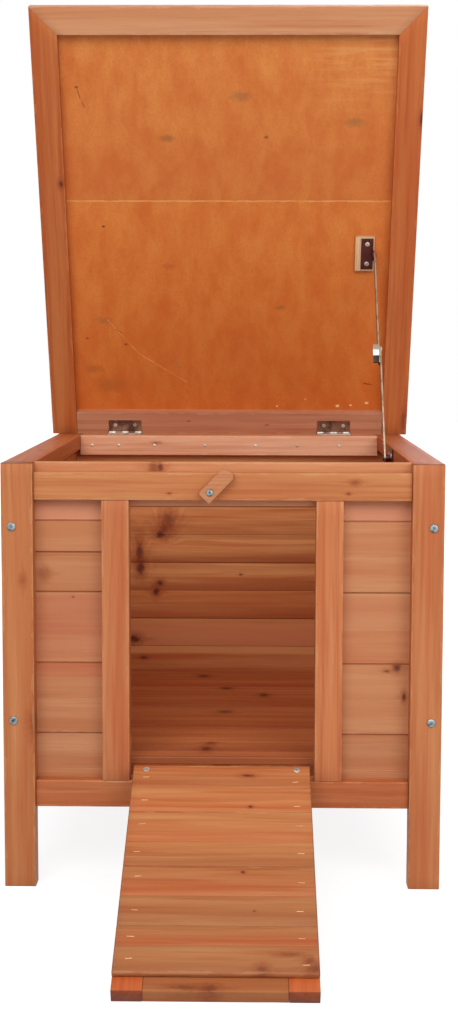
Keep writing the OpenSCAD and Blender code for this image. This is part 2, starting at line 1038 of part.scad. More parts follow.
module lid_side_rail(side) {
    inner = lid_half - lid_rail_w;
    lid_slab([
        [side * lid_half, lid_edge], [side * lid_half, lid_far],
        [side * inner, lid_far - lid_rail_w], [side * inner, lid_edge]
    ], leaf_rise, lid_rail_t);
}

module lid_left_rail() {
    color(pine)
        placed()
            on_lid()
                lid_side_rail(-1);
}

module lid_right_rail() {
    color(pine)
        placed()
            on_lid()
                lid_side_rail(1);
}

// Grooves that the lid's rear rail has round the hinge knuckles
module knuckle_notches() {
    notch_w = lid_hinge_w + 2 * lid_notch_ease;
    lid_hinge_pair()
        translate([-notch_w / 2, 0, 0])
            rotate([0, 90, 0])
                cylinder(h = notch_w, r = lid_knuckle_r + slip);
}

module lid_rear_rail() {
    inner = lid_half - lid_rail_w;
    color(pine_board)
        placed()
            on_lid()
                difference() {
                    lid_slab([[-inner, lid_edge], [inner, lid_edge],
                        [inner, lid_edge + lid_rear_w], [-inner, lid_edge + lid_rear_w]],
                        leaf_rise, lid_rail_t);
                    lid_moving_screws(fit);
                    knuckle_notches();
                }
}

// Plywood panel between two distances from the hinge line
module ply_sheet(near, far) {
    lid_slab([[-lid_half, near], [lid_half, near], [lid_half, far], [-lid_half, far]], ply_z, ply_t);
}

module lid_front_panel() {
    color(plywood)
        placed()
            on_lid()
                ply_sheet(lid_edge + ply_joint, lid_far);
}

module lid_rear_panel() {
    color(plywood)
        placed()
            on_lid()
                difference() {
                    ply_sheet(lid_edge, lid_edge + ply_joint);
                    at_lid_bracket_screws()
                        screw_hole(small_shank_r, bracket_screw_l);
                }
}

module roof_felt() {
    edge = lid_half - felt_inset;
    near = lid_edge + felt_inset;
    far = lid_far - felt_inset;
    color(felt_green)
        placed()
            on_lid()
                lid_slab([[-edge, near], [edge, near], [edge, far], [-edge, far]], felt_z, felt_t);
}

module lid_hinge_moving_leaves() {
    color(zinc)
        placed()
            on_lid()
                lid_moving_frame()
                    hinge_leaf(lid_hinge_w, lid_hinge_d, lid_knuckle_r, lid_leaf_z, 1);
}

// Upper bracket: plate under the packing block, with an ear for the arm
bracket_x = upper_arm_x - slip - bracket_w;
pad_x = bracket_x + bracket_w + slip - pad_w + arm_t / 2;
pad_z = ply_z - pad_t;

module at_lid_bracket_screws() {
    for (end = [-1, 1])
        translate([
            bracket_x + bracket_w / 2,
            -stay_lid_reach + end * (bracket_l / 2 - bracket_screw_in),
            pad_z - bracket_t
        ])
            rotate([180, 0, 0])
                children();
}

module stay_packing_block() {
    color(pale_wood)
        placed()
            on_lid()
                difference() {
                    translate([pad_x, -stay_lid_reach - pad_l / 2, pad_z])
                        cube([pad_w, pad_l, pad_t]);
                    at_lid_bracket_screws()
                        screw_hole(small_shank_r, bracket_screw_l);
                }
}

module stay_lid_bracket() {
    color(dark_steel)
        placed()
            on_lid()
                difference() {
                    union() {
                        translate([bracket_x, -stay_lid_reach - bracket_l / 2, pad_z - bracket_t])
                            cube([bracket_w, bracket_l, bracket_t]);
                        translate([upper_arm_x - slip - bracket_t, -stay_lid_reach - bracket_ear_r, 0])
                            cube([bracket_t, 2 * bracket_ear_r, pad_z - bracket_t / 2]);
                        translate([upper_arm_x - slip - bracket_t, -stay_lid_reach, 0])
                            rotate([0, 90, 0]) {
                                cylinder(h = bracket_t, r = bracket_ear_r);
                                translate([0, 0, bracket_t])
                                    rivet(arm_t + slip);
                            }
                    }
                    at_lid_bracket_screws()
                        screw_hole(small_shank_r, bracket_screw_l);
                }
}

module lid_small_screws() {
    color(zinc)
        placed()
            on_lid() {
                lid_moving_screws();
                at_lid_bracket_screws()
                    pan_screw(bracket_head_r, bracket_head_t, small_shank_r, bracket_screw_l);
            }
}

// Ramp screws at the hinge end, through the first board into each batten
module at_ramp_screws() {
    for (side = [-1, 1])
        translate([side * batten_x, ramp_face, ramp_start + ramp_screw_in])
            rotate([-90, 0, 0])
                children();
}

ramp_screw_l = ramp_board_t + batten_t - ramp_screw_short;

// Bead line of each ramp board, as a share of the boarded length
bead_shares = [0.1215, 0.406, 0.666, 0.8845];
function bead_at(i) = ramp_start + boarded * bead_shares[i];

// Staples down the left and the right batten, set by eye, as shares of the boarded length
staple_shares = [
    [0.066, 0.190, 0.316, 0.461, 0.577, 0.738, 0.852, 0.942],
    [0.095, 0.219, 0.329, 0.468, 0.608, 0.732, 0.857, 0.961]
];

module at_staples() {
    for (side = [0, 1], share = staple_shares[side])
        translate([(2 * side - 1) * batten_x, ramp_face, ramp_start + boarded * share])
            children();
}

// Staple with its crown let into the board; grow widens it to its slot
module staple(grow = 0) {
    translate([-staple_l / 2 - grow, -staple_crown - grow, -staple_wire / 2 - grow])
        cube([staple_l + 2 * grow, staple_crown + 2 * grow, staple_wire + 2 * grow]);
    for (x0 = [-staple_l / 2, staple_l / 2 - staple_wire])
        translate([x0 - grow, -staple_leg - grow, -staple_wire / 2 - grow])
            cube([staple_wire + 2 * grow, staple_leg, staple_wire + 2 * grow]);
}

// Holes that the ramp's screws and staples make
module ramp_holes() {
    at_ramp_screws()
        screw_hole(small_shank_r, ramp_screw_l);
    at_staples()
        staple(fit);
}

module ramp_batten(x0) {
    difference() {
        timber_z([x0, ramp_under, ramp_start], [x0 + batten_w, ramp_mid, ramp_end]);
        ramp_moving_screws(fit);
        ramp_holes();
    }
}

module ramp_left_batten() {
    color(pine)
        placed()
            on_ramp()
                ramp_batten(-ramp_half);
}

module ramp_right_batten() {
    color(pine)
        placed()
            on_ramp()
                ramp_batten(ramp_half - batten_w);
}

module ramp_end_batten() {
    inner = ramp_half - batten_w;
    color(pine)
        placed()
            on_ramp()
                timber_x([-inner, ramp_under, ramp_end - batten_w], [inner, ramp_mid, ramp_end]);
}

// Boards of the ramp, numbered from the hinges to the foot
module ramp_board(i) {
    low = ramp_joints[i];
    high = ramp_joints[i + 1];
    color(pine_board)
        placed()
            on_ramp()
                difference() {
                    board_x(-ramp_half, ramp_half, ramp_mid, low, high - low,
                        bead_at(i) - low, i < 3, i > 0, ramp_board_t);
                    ramp_holes();
                }
}

module ramp_board_1() {
    ramp_board(0);
}

module ramp_board_2() {
    ramp_board(1);
}

module ramp_board_3() {
    ramp_board(2);
}

module ramp_board_4() {
    ramp_board(3);
}

module ramp_hinge_moving_leaves() {
    color(zinc)
        placed()
            on_ramp()
                ramp_moving_frame()
                    hinge_leaf(ramp_hinge_w, ramp_hinge_d, ramp_knuckle_r, ramp_leaf_z, 1);
}

module ramp_screws() {
    color(zinc)
        placed()
            on_ramp() {
                ramp_moving_screws();
                at_ramp_screws()
                    pan_screw(ramp_head_r, ramp_head_t, small_shank_r, ramp_screw_l);
            }
}

module ramp_staples() {
    color(zinc)
        placed()
            on_ramp()
                at_staples()
                    staple();
}

// Flat arm from y0 to y1 with round ends, at x0, before its hole is cut
module arm_blank(x0, y0, y1) {
    translate([x0, y0, -arm_r])
        cube([arm_t, y1 - y0, arm_w]);
    for (y = [y0, y1])
        translate([x0, y, 0])
            rotate([0, 90, 0])
                cylinder(h = arm_t, r = arm_r);
}

module pivot_hole(x0, y) {
    translate([x0 - slip, y, 0])
        rotate([0, 90, 0])
            cylinder(h = arm_t + 2 * slip, r = pivot_r + fit);
}

// Upper arm, with the bent tab that a thumb pushes to fold the elbow
module stay_upper_arm() {
    color(zinc)
        placed()
            on_stay()
                difference() {
                    union() {
                        arm_blank(upper_arm_x, stay_lower_len, stay_len);
                        translate([upper_arm_x - rivet_head_t, stay_lower_len, 0])
                            rotate([0, 90, 0])
                                cylinder(h = rivet_head_t, r = rivet_head_r);
                        translate([upper_arm_x, stay_lower_len - elbow_tab_drop - elbow_tab_l / 2, 0])
                            cube([arm_t, elbow_tab_l, arm_r + slip + arm_t]);
                        translate([
                            upper_arm_x + arm_t - elbow_tab_w,
                            stay_lower_len - elbow_tab_drop - elbow_tab_l / 2,
                            arm_r + slip
                        ])
                            cube([elbow_tab_w, elbow_tab_l, arm_t]);
                    }
                    pivot_hole(upper_arm_x, stay_len);
                }
}

module stay_lower_arm() {
    color(zinc)
        placed()
            on_stay()
                difference() {
                    union() {
                        arm_blank(lower_arm_x, 0, stay_lower_len);
                        translate([lower_arm_x + arm_t, stay_lower_len, 0])
                            rotate([0, 90, 0])
                                cylinder(h = rivet_head_t, r = rivet_head_r);
                    }
                    pivot_hole(lower_arm_x, 0);
                }
}

// Turn button, drawn flat with the screw at the origin and its tip towards +X
module button_outline() {
    w = button_w / 2;
    far = button_far - button_skew;
    polygon([
        [-button_near + button_ease, -w], [far, -w], [far + button_ease, button_ease - w],
        [button_far, w / 3], [button_far, w * 2 / 3], [far + button_ease, w],
        [-button_near + button_ease, w], [-button_near, w - button_ease],
        [-button_near, button_ease - w]
    ]);
}

module turn_button() {
    color(pine)
        placed()
            translate([button_x, button_y, button_z])
                rotate([90, -button_angle, 0])
                    translate([0, 0, -button_t])
                        difference() {
                            linear_extrude(button_t)
                                mirror([0, 1, 0])
                                    button_outline();
                            translate([0, 0, -slip])
                                cylinder(h = button_t + 2 * slip, r = button_shank_r + fit);
                        }
}

front_left_post();
front_right_post();
rear_left_post();
rear_right_post();
left_front_upright();
left_rear_upright();
right_front_upright();
right_rear_upright();
front_top_rail();
front_bottom_rail();
left_door_stile();
right_door_stile();
left_cap_rail();
right_cap_rail();
left_bottom_rail();
right_bottom_rail();
rear_top_rail();
rear_bottom_rail();
rear_inner_rail();
floor_joists();
floor_boards();
front_top_board();
front_bottom_board();
front_left_boards();
front_right_boards();
left_wall_boards();
right_wall_boards();
rear_wall_boards();
corner_screws();
rear_rail_nails();
lid_hinge_fixed_leaves();
hinge_pins();
cabin_small_screws();
stay_wall_bracket();
ramp_hinge_fixed_leaves();
turn_button_screw();
lid_front_rail();
lid_left_rail();
lid_right_rail();
lid_rear_rail();
lid_front_panel();
lid_rear_panel();
roof_felt();
lid_hinge_moving_leaves();
stay_packing_block();
stay_lid_bracket();
lid_small_screws();
ramp_left_batten();
ramp_right_batten();
ramp_end_batten();
ramp_board_1();
ramp_board_2();
ramp_board_3();
ramp_board_4();
ramp_hinge_moving_leaves();
ramp_screws();
ramp_staples();
stay_upper_arm();
stay_lower_arm();
turn_button();
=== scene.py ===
"""Looks of an outdoor cat house: a stained pine cabin, its ramp door, turn button and propped roof lid."""

from __future__ import annotations

import json
import logging
import math
import random
from dataclasses import dataclass, replace
from enum import Enum
from typing import Callable, Sequence, Union

import bmesh
import bpy
from mathutils import Matrix, Vector, noise

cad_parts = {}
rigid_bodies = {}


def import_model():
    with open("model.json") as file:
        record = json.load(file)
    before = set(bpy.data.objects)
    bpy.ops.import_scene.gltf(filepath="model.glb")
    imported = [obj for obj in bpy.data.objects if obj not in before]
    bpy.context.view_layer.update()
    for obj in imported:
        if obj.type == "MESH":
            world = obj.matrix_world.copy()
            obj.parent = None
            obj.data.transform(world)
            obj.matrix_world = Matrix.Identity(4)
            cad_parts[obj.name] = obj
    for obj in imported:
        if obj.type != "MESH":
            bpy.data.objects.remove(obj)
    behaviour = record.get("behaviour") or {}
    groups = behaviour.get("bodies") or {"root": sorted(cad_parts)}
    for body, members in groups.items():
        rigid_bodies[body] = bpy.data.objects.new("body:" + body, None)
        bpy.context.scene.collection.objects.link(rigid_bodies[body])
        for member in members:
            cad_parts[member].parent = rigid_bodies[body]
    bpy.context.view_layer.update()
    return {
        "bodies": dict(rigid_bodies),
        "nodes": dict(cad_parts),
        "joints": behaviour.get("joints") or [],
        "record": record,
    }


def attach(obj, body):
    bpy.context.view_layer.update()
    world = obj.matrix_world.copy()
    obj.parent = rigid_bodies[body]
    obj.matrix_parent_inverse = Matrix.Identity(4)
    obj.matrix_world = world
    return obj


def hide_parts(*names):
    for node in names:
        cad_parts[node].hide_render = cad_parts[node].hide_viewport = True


log = logging.getLogger("cat_house")

MM = 0.001
MERGE_DISTANCE = 1e-6

Socket = bpy.types.NodeSocket
Outputs = bpy.types.NodeOutputs
Tree = bpy.types.NodeTree
Material = bpy.types.Material
Piece = bpy.types.Object
WorkMesh = bmesh.types.BMesh
Value = Union[Socket, float, Sequence[float]]
Colour = tuple[float, float, float]
Point = tuple[float, float]
Box = tuple[Vector, Vector]
Seat = tuple[Vector, tuple[float, float, float]]
Coat = tuple[Value, Value]


def stain(red: int, green: int, blue: int) -> Colour:
    """Turns a display colour, 0 to 255 a channel, into the linear colour that a shader takes."""
    def linear(part: int) -> float:
        """Gives one channel's linear value."""
        share = part / 255
        return share / 12.92 if share <= 0.04045 else ((share + 0.055) / 1.055) ** 2.4

    return linear(red), linear(green), linear(blue)


def box_of(points: Sequence[Vector]) -> Box:
    """Gives the lowest and the highest corner of some points."""
    return tuple(Vector(limit(point[i] for point in points) for i in range(3)) for limit in (min, max))


def lump(x: float, y: float, z: float) -> float:
    """Gives a smooth random value between 0 and 1 for a place."""
    return 0.5 + 0.5 * noise.noise(Vector((x, y, z)))


class Part(Enum):
    """The sub-assembly in whose own frame a piece was cut."""

    CABIN = "cabin"
    LID = "lid"
    RAMP = "ramp"


class Cut(Enum):
    """Order of a timber's axes: along its grain, across its wide face, through its thickness."""

    X_WIDE_Z = (0, 2, 1)
    X_WIDE_Y = (0, 1, 2)
    Y_WIDE_Z = (1, 2, 0)
    Y_WIDE_X = (1, 0, 2)
    Z_WIDE_X = (2, 0, 1)
    Z_WIDE_Y = (2, 1, 0)


class Mitre(Enum):
    """Which ends of a timber are cut at 45 degrees."""

    NONE = 0
    LOW_FROM_LOW = 1
    LOW_FROM_HIGH = 2
    BOTH_FROM_LOW = 3


class Weave(Enum):
    """Factors by which a noise is drawn out along, across and into a timber or a sheet."""

    BEND = (1.6, 9.0, 9.0)
    SWAY = (7.0, 26.0, 26.0)
    RING_STRENGTH = (3.0, 60.0, 60.0)
    FIBRE = (16.0, 620.0, 620.0)
    STREAK = (3.5, 120.0, 120.0)
    CLOUD = (2.4, 42.0, 42.0)
    WORN_EDGE = (38.0, 130.0, 130.0)
    PLY_WARP = (9.0, 4.0, 1.0)
    PLY_FLOW = (36.0, 17.0, 1.0)
    PLY_FIBRE = (420.0, 60.0, 1.0)
    PLY_BLOTCH = (30.0, 17.0, 1.0)
    PLY_RIPPLE = (14.0, 150.0, 1.0)
    PLY_CHIP = (70.0, 10.0, 1.0)
    METAL_LINE = (1.0, 11.0, 2.3)


class Workshop:
    """Knows where each sub-assembly stands in the rest pose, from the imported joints."""

    def __init__(self, frame: dict) -> None:
        """Reads the places of the lid's and the ramp's hinge lines.
        """
        joints = {joint["name"]: joint for joint in frame["joints"]}
        self.nodes: dict[str, Piece] = frame["nodes"]
        self.place = {
            Part.CABIN: Matrix.Identity(4),
            Part.LID: self._swung(joints["lid_hinge"]),
            Part.RAMP: self._swung(joints["ramp_hinge"]),
        }

    @staticmethod
    def _swung(joint: dict) -> Matrix:
        """Gives the matrix from a shut sub-assembly's frame to its rest place."""
        back = Matrix.Rotation(-math.radians(joint["range_deg"][1]), 4, Vector(joint["axis"]))
        return Matrix.Translation(joint["pos_m"]) @ back

    def corners(self, node: str, part: Part) -> Box:
        """Gives a CAD node's lowest and highest corners in its sub-assembly's frame."""
        inverse = self.place[part].inverted()
        return box_of([inverse @ vertex.co for vertex in self.nodes[node].data.vertices])

    def merged(self, node: str) -> WorkMesh:
        """Copies a CAD node's mesh into a work mesh and merges its doubled points.

        Args:
            node: The CAD node's name.

        Returns:
            The work mesh.
        """
        work = bmesh.new()
        work.from_mesh(self.nodes[node].data)
        bmesh.ops.remove_doubles(work, verts=work.verts, dist=MERGE_DISTANCE)
        return work

    def islands(self, node: str, part: Part) -> list[Box]:
        """Gives the box of each separate solid of a CAD node, in its sub-assembly's frame.

        Args:
            node: The CAD node's name.
            part: The sub-assembly it belongs to.

        Returns:
            Lowest and highest corner of each solid, in a fixed order.
        """
        work = self.merged(node)
        work.transform(self.place[part].inverted())
        left = set(work.verts)
        boxes = []
        while left:
            stack, seen = [next(iter(left))], set()
            while stack:
                vertex = stack.pop()
                if vertex in seen:
                    continue
                seen.add(vertex)
                stack.extend(edge.other_vert(vertex) for edge in vertex.link_edges)
            left -= seen
            boxes.append(box_of([vertex.co for vertex in seen]))
        work.free()
        return sorted(boxes, key=lambda box: tuple(round(c, 5) for c in box[0]))


class NodeBench:
    """A node tree being built, with short calls for what the finishes need."""

    def __init__(self, tree: Tree) -> None:
        """Starts on an existing tree."""
        self.tree = tree

    def add(self, kind: str, **settings: object) -> bpy.types.Node:
        """Adds a node and sets its properties by name."""
        node = self.tree.nodes.new(kind)
        for name, value in settings.items():
            setattr(node, name, value)
        return node

    def feed(self, target: Socket, value: Value) -> None:
        """Links a socket to a target, or sets the target's own value.

        Args:
            target: The input socket.
            value: Another socket, a number or several numbers.
        """
        if isinstance(value, Socket):
            self.tree.links.new(value, target)
        elif hasattr(value, "__len__") and target.type == "RGBA":
            target.default_value = (*value[:3], 1.0)
        else:
            target.default_value = value

    def wired(
        self, kind: str, inputs: dict[int | str, Value], output: int | str = 0, **settings: object
    ) -> Socket:
        """Adds a node, feeds its inputs and gives one of its outputs.

        Args:
            kind: Blender's name for the node.
            inputs: What goes into each input, by number or name.
            output: Number or name of the wanted output.
            settings: The node's own properties.

        Returns:
            The output's socket.
        """
        node = self.add(kind, **settings)
        for key, value in inputs.items():
            self.feed(node.inputs[key], value)
        return node.outputs[output]

    def maths(self, operation: str, first: Value, second: Value = 0.0, third: Value = 0.0) -> Socket:
        """Adds a Math node on up to three values and gives its result."""
        return self.wired("ShaderNodeMath", {0: first, 1: second, 2: third}, operation=operation)

    def times(self, first: Value, second: Value) -> Socket:
        """Multiplies two values."""
        return self.maths("MULTIPLY", first, second)

    def less(self, first: Value, second: Value) -> Socket:
        """Takes the second value from the first."""
        return self.maths("SUBTRACT", first, second)

    def reach(self, first: Value, second: Value) -> Socket:
        """Gives the distance that two values at right angles span."""
        return self.maths("SQRT", self.maths("ADD", self.times(first, first), self.times(second, second)))

    def vector(self, operation: str, first: Value, second: Value = (0.0, 0.0, 0.0)) -> Socket:
        """Adds a Vector Math node and gives its vector, or its value where it makes one."""
        output = "Value" if operation in ("LENGTH", "DISTANCE", "DOT_PRODUCT") else "Vector"
        return self.wired("ShaderNodeVectorMath", {0: first, 1: second}, output, operation=operation)

    def place(self) -> Socket:
        """Gives the Object coordinates."""
        return self.wired("ShaderNodeTexCoord", {}, "Object")

    def split(self, vector: Value) -> tuple[Socket, Socket, Socket]:
        """Gives a vector's three parts."""
        return tuple(self.wired("ShaderNodeSeparateXYZ", {0: vector}).node.outputs)

    def pack(self, x: Value, y: Value, z: Value) -> Socket:
        """Joins three values into a vector."""
        return self.wired("ShaderNodeCombineXYZ", {0: x, 1: y, 2: z})

    def blend(self, share: Value, first: Value, second: Value) -> Socket:
        """Mixes two colours by a share."""
        return self.wired("ShaderNodeMix", {0: share, 6: first, 7: second}, 2, data_type="RGBA")

    def layered(self, colour: Value, coats: Sequence[Coat]) -> Value:
        """Lays coats over a colour, the first one lowest.

        Args:
            colour: The colour below.
            coats: Share and tint of each coat.

        Returns:
            The colour that shows.
        """
        for share, tint in coats:
            colour = self.blend(share, colour, tint)
        return colour

    def fade(
        self, value: Value, low: float, high: float, out_low: float = 0.0, out_high: float = 1.0
    ) -> Socket:
        """Maps a value smoothly from one range to another, held at its ends."""
        inputs = {0: value, 1: low, 2: high, 3: out_low, 4: out_high}
        return self.wired("ShaderNodeMapRange", inputs, interpolation_type="SMOOTHSTEP")

    def cloud(self, vector: Value, scale: Value, detail: float = 3.0, rough: float = 0.5) -> Socket:
        """Adds a Noise Texture and gives its value."""
        inputs = {"Vector": vector, "Scale": scale, "Detail": detail, "Roughness": rough}
        return self.wired("ShaderNodeTexNoise", inputs)

    def drawn(self, vector: Value, weave: Weave, detail: float = 3.0, rough: float = 0.5) -> Socket:
        """Gives the value of a noise that is drawn out by a weave."""
        return self.cloud(self.vector("MULTIPLY", vector, weave.value), 1.0, detail, rough)

    def cells(self, vector: Value, scale: float) -> Outputs:
        """Adds a Voronoi Texture and gives its outputs."""
        return self.wired("ShaderNodeTexVoronoi", {"Vector": vector, "Scale": scale}).node.outputs

    def chance(self, value: Value) -> Socket:
        """Gives a fixed random value for each whole number."""
        return self.wired("ShaderNodeTexWhiteNoise", {"W": value}, "Value", noise_dimensions="1D")

    def bump(self, height: Value, strength: float, depth: float) -> Socket:
        """Turns a height into a surface normal."""
        inputs = {"Height": height, "Strength": strength, "Distance": depth}
        return self.wired("ShaderNodeBump", inputs)

    def use(self, group: Tree, **values: Value) -> Outputs:
        """Places a group node.

        Args:
            group: The group's tree.
            values: What goes into each input by name, with _ for a blank.

        Returns:
            Its outputs.
        """
        node = self.add("ShaderNodeGroup", node_tree=group)
        for name, value in values.items():
            self.feed(node.inputs[name.replace("_", " ")], value)
        return node.outputs


class Surface:
    """A material being built on Blender's general surface shader."""

    def __init__(self, name: str) -> None:
        """Makes the material.

        Args:
            name: The material's name.
        """
        self.material = bpy.data.materials.new(name)
        self.material.use_nodes = True
        self.bench = NodeBench(self.material.node_tree)

    def coated(self, **values: Value) -> Material:
        """Feeds the shader.

        Args:
            values: What goes into each of its inputs by name, with _ for a blank.

        Returns:
            The finished material.
        """
        shader = self.material.node_tree.nodes["Principled BSDF"]
        for name, value in values.items():
            self.bench.feed(shader.inputs[name.replace("_", " ")], value)
        return self.material


class EffectGroup:
    """A shader effect that several finishes share, built once as a node group."""

    def __init__(self, name: str, inputs: dict[str, str], outputs: Sequence[str]) -> None:
        """Makes the group with its named sockets.

        Args:
            name: The group's name.
            inputs: Socket name to kind, of Float or Vector.
            outputs: Names of the values it gives.
        """
        self.tree = bpy.data.node_groups.new(name, "ShaderNodeTree")
        for socket, kind in inputs.items():
            self.tree.interface.new_socket(socket, in_out="INPUT", socket_type=f"NodeSocket{kind}")
        for socket in outputs:
            self.tree.interface.new_socket(socket, in_out="OUTPUT", socket_type="NodeSocketFloat")
        self.bench = NodeBench(self.tree)
        self.given = self.bench.add("NodeGroupInput").outputs
        self.result = self.bench.add("NodeGroupOutput").inputs

    def give(self, **values: Value) -> Tree:
        """Feeds the group's outputs.

        Args:
            values: What each output gives, by name.

        Returns:
            The group's tree.
        """
        for name, value in values.items():
            self.bench.feed(self.result[name], value)
        return self.tree


class Effects:
    """All shared effect groups."""

    PITH_DEPTH = 0.034
    SEED_SHIFT = (7.31, 0.173, 0.377)
    KNOT_RAGGED = 210.0

    def __init__(self) -> None:
        """Builds each group once."""
        self.grain = self._grain()
        self.knot = self._knot()
        self.edges = self._edges()
        self.boards = self._boards()
        self.scuffs = self._scuffs()
        self.scratch = self._scratch()

    @classmethod
    def _grain(cls) -> Tree:
        """Builds growth rings, fibres and stain clouds in a frame whose X runs along the grain.

        Returns:
            The group's tree.
        """
        group = EffectGroup(
            "stained_grain",
            {"Vector": "Vector", "Seed": "Float", "Ring Width": "Float", "Pith": "Float", "Pull": "Float"},
            ("Rings", "Fibre", "Cloud", "Streak", "Height"),
        )
        bench, given = group.bench, group.given
        shift = bench.pack(*(bench.times(given["Seed"], step) for step in cls.SEED_SHIFT))
        place = bench.vector("ADD", given["Vector"], shift)
        _, across, deep = bench.split(given["Vector"])
        off_pith = bench.maths("ADD", across, given["Pith"])
        bent = bench.reach(off_pith, bench.maths("ADD", deep, cls.PITH_DEPTH))
        for weave, strength in ((Weave.BEND, 0.042), (Weave.SWAY, 0.0055)):
            bent = bench.maths("MULTIPLY_ADD", bench.drawn(place, weave, 2.0), strength, bent)
        bent = bench.maths("ADD", bent, given["Pull"])
        turn = bench.maths("FRACT", bench.maths("DIVIDE", bent, given["Ring Width"]))
        late_wood = bench.times(bench.fade(turn, 0.3, 0.88), bench.fade(turn, 1.0, 0.93))
        uneven = bench.drawn(place, Weave.RING_STRENGTH, 1.0)
        rings = bench.times(late_wood, bench.fade(uneven, 0.32, 0.66, 0.25, 1.0))
        fibre = bench.drawn(place, Weave.FIBRE, 3.0, 0.62)
        return group.give(
            Rings=rings,
            Fibre=fibre,
            Cloud=bench.drawn(place, Weave.CLOUD, 3.0, 0.55),
            Streak=bench.drawn(place, Weave.STREAK, 2.0, 0.6),
            Height=bench.maths("MULTIPLY_ADD", rings, 0.35, bench.times(fibre, 0.65)),
        )

    @classmethod
    def _knot(cls) -> Tree:
        """Builds one knot: its dark heart, its reddish halo, and how it bends the rings round it.

        Returns:
            The group's tree.
        """
        group = EffectGroup(
            "knot",
            {"Vector": "Vector", "Along": "Float", "Across": "Float", "Radius": "Float", "Length": "Float"},
            ("Heart", "Halo", "Pull"),
        )
        bench, given = group.bench, group.given
        along, across, _ = bench.split(given["Vector"])
        ragged = bench.less(bench.cloud(given["Vector"], cls.KNOT_RAGGED, 3.0, 0.6), 0.5)
        x = bench.maths("DIVIDE", bench.less(along, given["Along"]), given["Length"])
        y = bench.maths("DIVIDE", bench.less(across, given["Across"]), given["Radius"])
        far = bench.reach(x, y)
        rough = bench.maths("MULTIPLY_ADD", ragged, 1.3, far)
        beside = bench.maths("ABSOLUTE", bench.maths("MULTIPLY_ADD", ragged, 1.1, y))
        tail = bench.times(bench.fade(beside, 0.75, 0.1), bench.fade(bench.maths("ABSOLUTE", x), 4.6, 0.8))
        return group.give(
            Heart=bench.fade(rough, 1.15, 0.25),
            Halo=bench.maths("MAXIMUM", bench.fade(rough, 2.5, 0.6), bench.times(tail, 0.7)),
            Pull=bench.times(bench.fade(far, 3.2, 0.0), bench.times(given["Radius"], 1.6)),
        )

    @staticmethod
    def _edges() -> Tree:
        """Builds masks for a box-shaped timber's long edges and its cut ends.

        Returns:
            The group's tree.
        """
        group = EffectGroup(
            "timber_edges",
            {"Vector": "Vector", "Low": "Vector", "High": "Vector", "Seed": "Float"},
            ("Worn", "End"),
        )
        bench, given = group.bench, group.given
        below = bench.split(bench.vector("SUBTRACT", given["Vector"], given["Low"]))
        above = bench.split(bench.vector("SUBTRACT", given["High"], given["Vector"]))
        from_end, from_side, from_face = (bench.maths("MINIMUM", *pair) for pair in zip(below, above))
        moved = bench.vector("ADD", given["Vector"], bench.pack(given["Seed"], 0.0, 0.0))
        broken = bench.drawn(moved, Weave.WORN_EDGE, 3.0, 0.6)
        width = bench.times(bench.fade(broken, 0.4, 0.72), 3.4 * MM)
        past = bench.less(bench.maths("ADD", from_side, from_face), width)
        return group.give(
            Worn=bench.fade(past, 0.9 * MM, -0.4 * MM),
            End=bench.fade(from_end, 1.1 * MM, 0.4 * MM),
        )

    @staticmethod
    def _boards() -> Tree:
        """Builds a random value for each board of a wall, a mask for its joints, and uneven shading.

        Returns:
            The group's tree.
        """
        group = EffectGroup(
            "board_by_board",
            {"Across": "Float", "Start": "Float", "Pitch": "Float", "Seed": "Float"},
            ("Random", "Joint", "Shade"),
        )
        bench, given = group.bench, group.given
        count = bench.maths("DIVIDE", bench.less(given["Across"], given["Start"]), given["Pitch"])
        share = bench.maths("FRACT", count)
        gap = bench.times(bench.maths("MINIMUM", share, bench.less(1.0, share)), given["Pitch"])
        halves = bench.times(count, 2.0)
        lot = bench.chance(bench.maths("MULTIPLY_ADD", given["Seed"], 3.3, bench.maths("FLOOR", halves)))
        strength = bench.fade(lot, 0.1, 0.9, 0.25, 1.0)
        return group.give(
            Random=bench.chance(bench.maths("ADD", bench.maths("FLOOR", count), given["Seed"])),
            Joint=bench.fade(gap, 1.4 * MM, 0.4 * MM),
            Shade=bench.times(bench.fade(bench.maths("FRACT", halves), 0.65, 0.0), strength),
        )

    @staticmethod
    def _scuffs() -> Tree:
        """Builds fine scratches, dull patches and specks for plated metal.

        Returns:
            The group's tree.
        """
        inputs = {"Vector": "Vector", "Scale": "Float"}
        group = EffectGroup("plating_scuffs", inputs, ("Patch", "Line", "Speck"))
        bench, given = group.bench, group.given
        drawn = bench.vector("MULTIPLY", given["Vector"], Weave.METAL_LINE.value)
        patch, line, speck = (
            bench.cloud(vector, bench.times(given["Scale"], scale), detail, rough)
            for vector, scale, detail, rough in (
                (given["Vector"], 90.0, 4.0, 0.6),
                (drawn, 420.0, 2.0, 0.7),
                (given["Vector"], 1400.0, 2.0, 0.5),
            )
        )
        return group.give(Patch=patch, Line=bench.fade(line, 0.6, 0.7), Speck=bench.fade(speck, 0.58, 0.68))

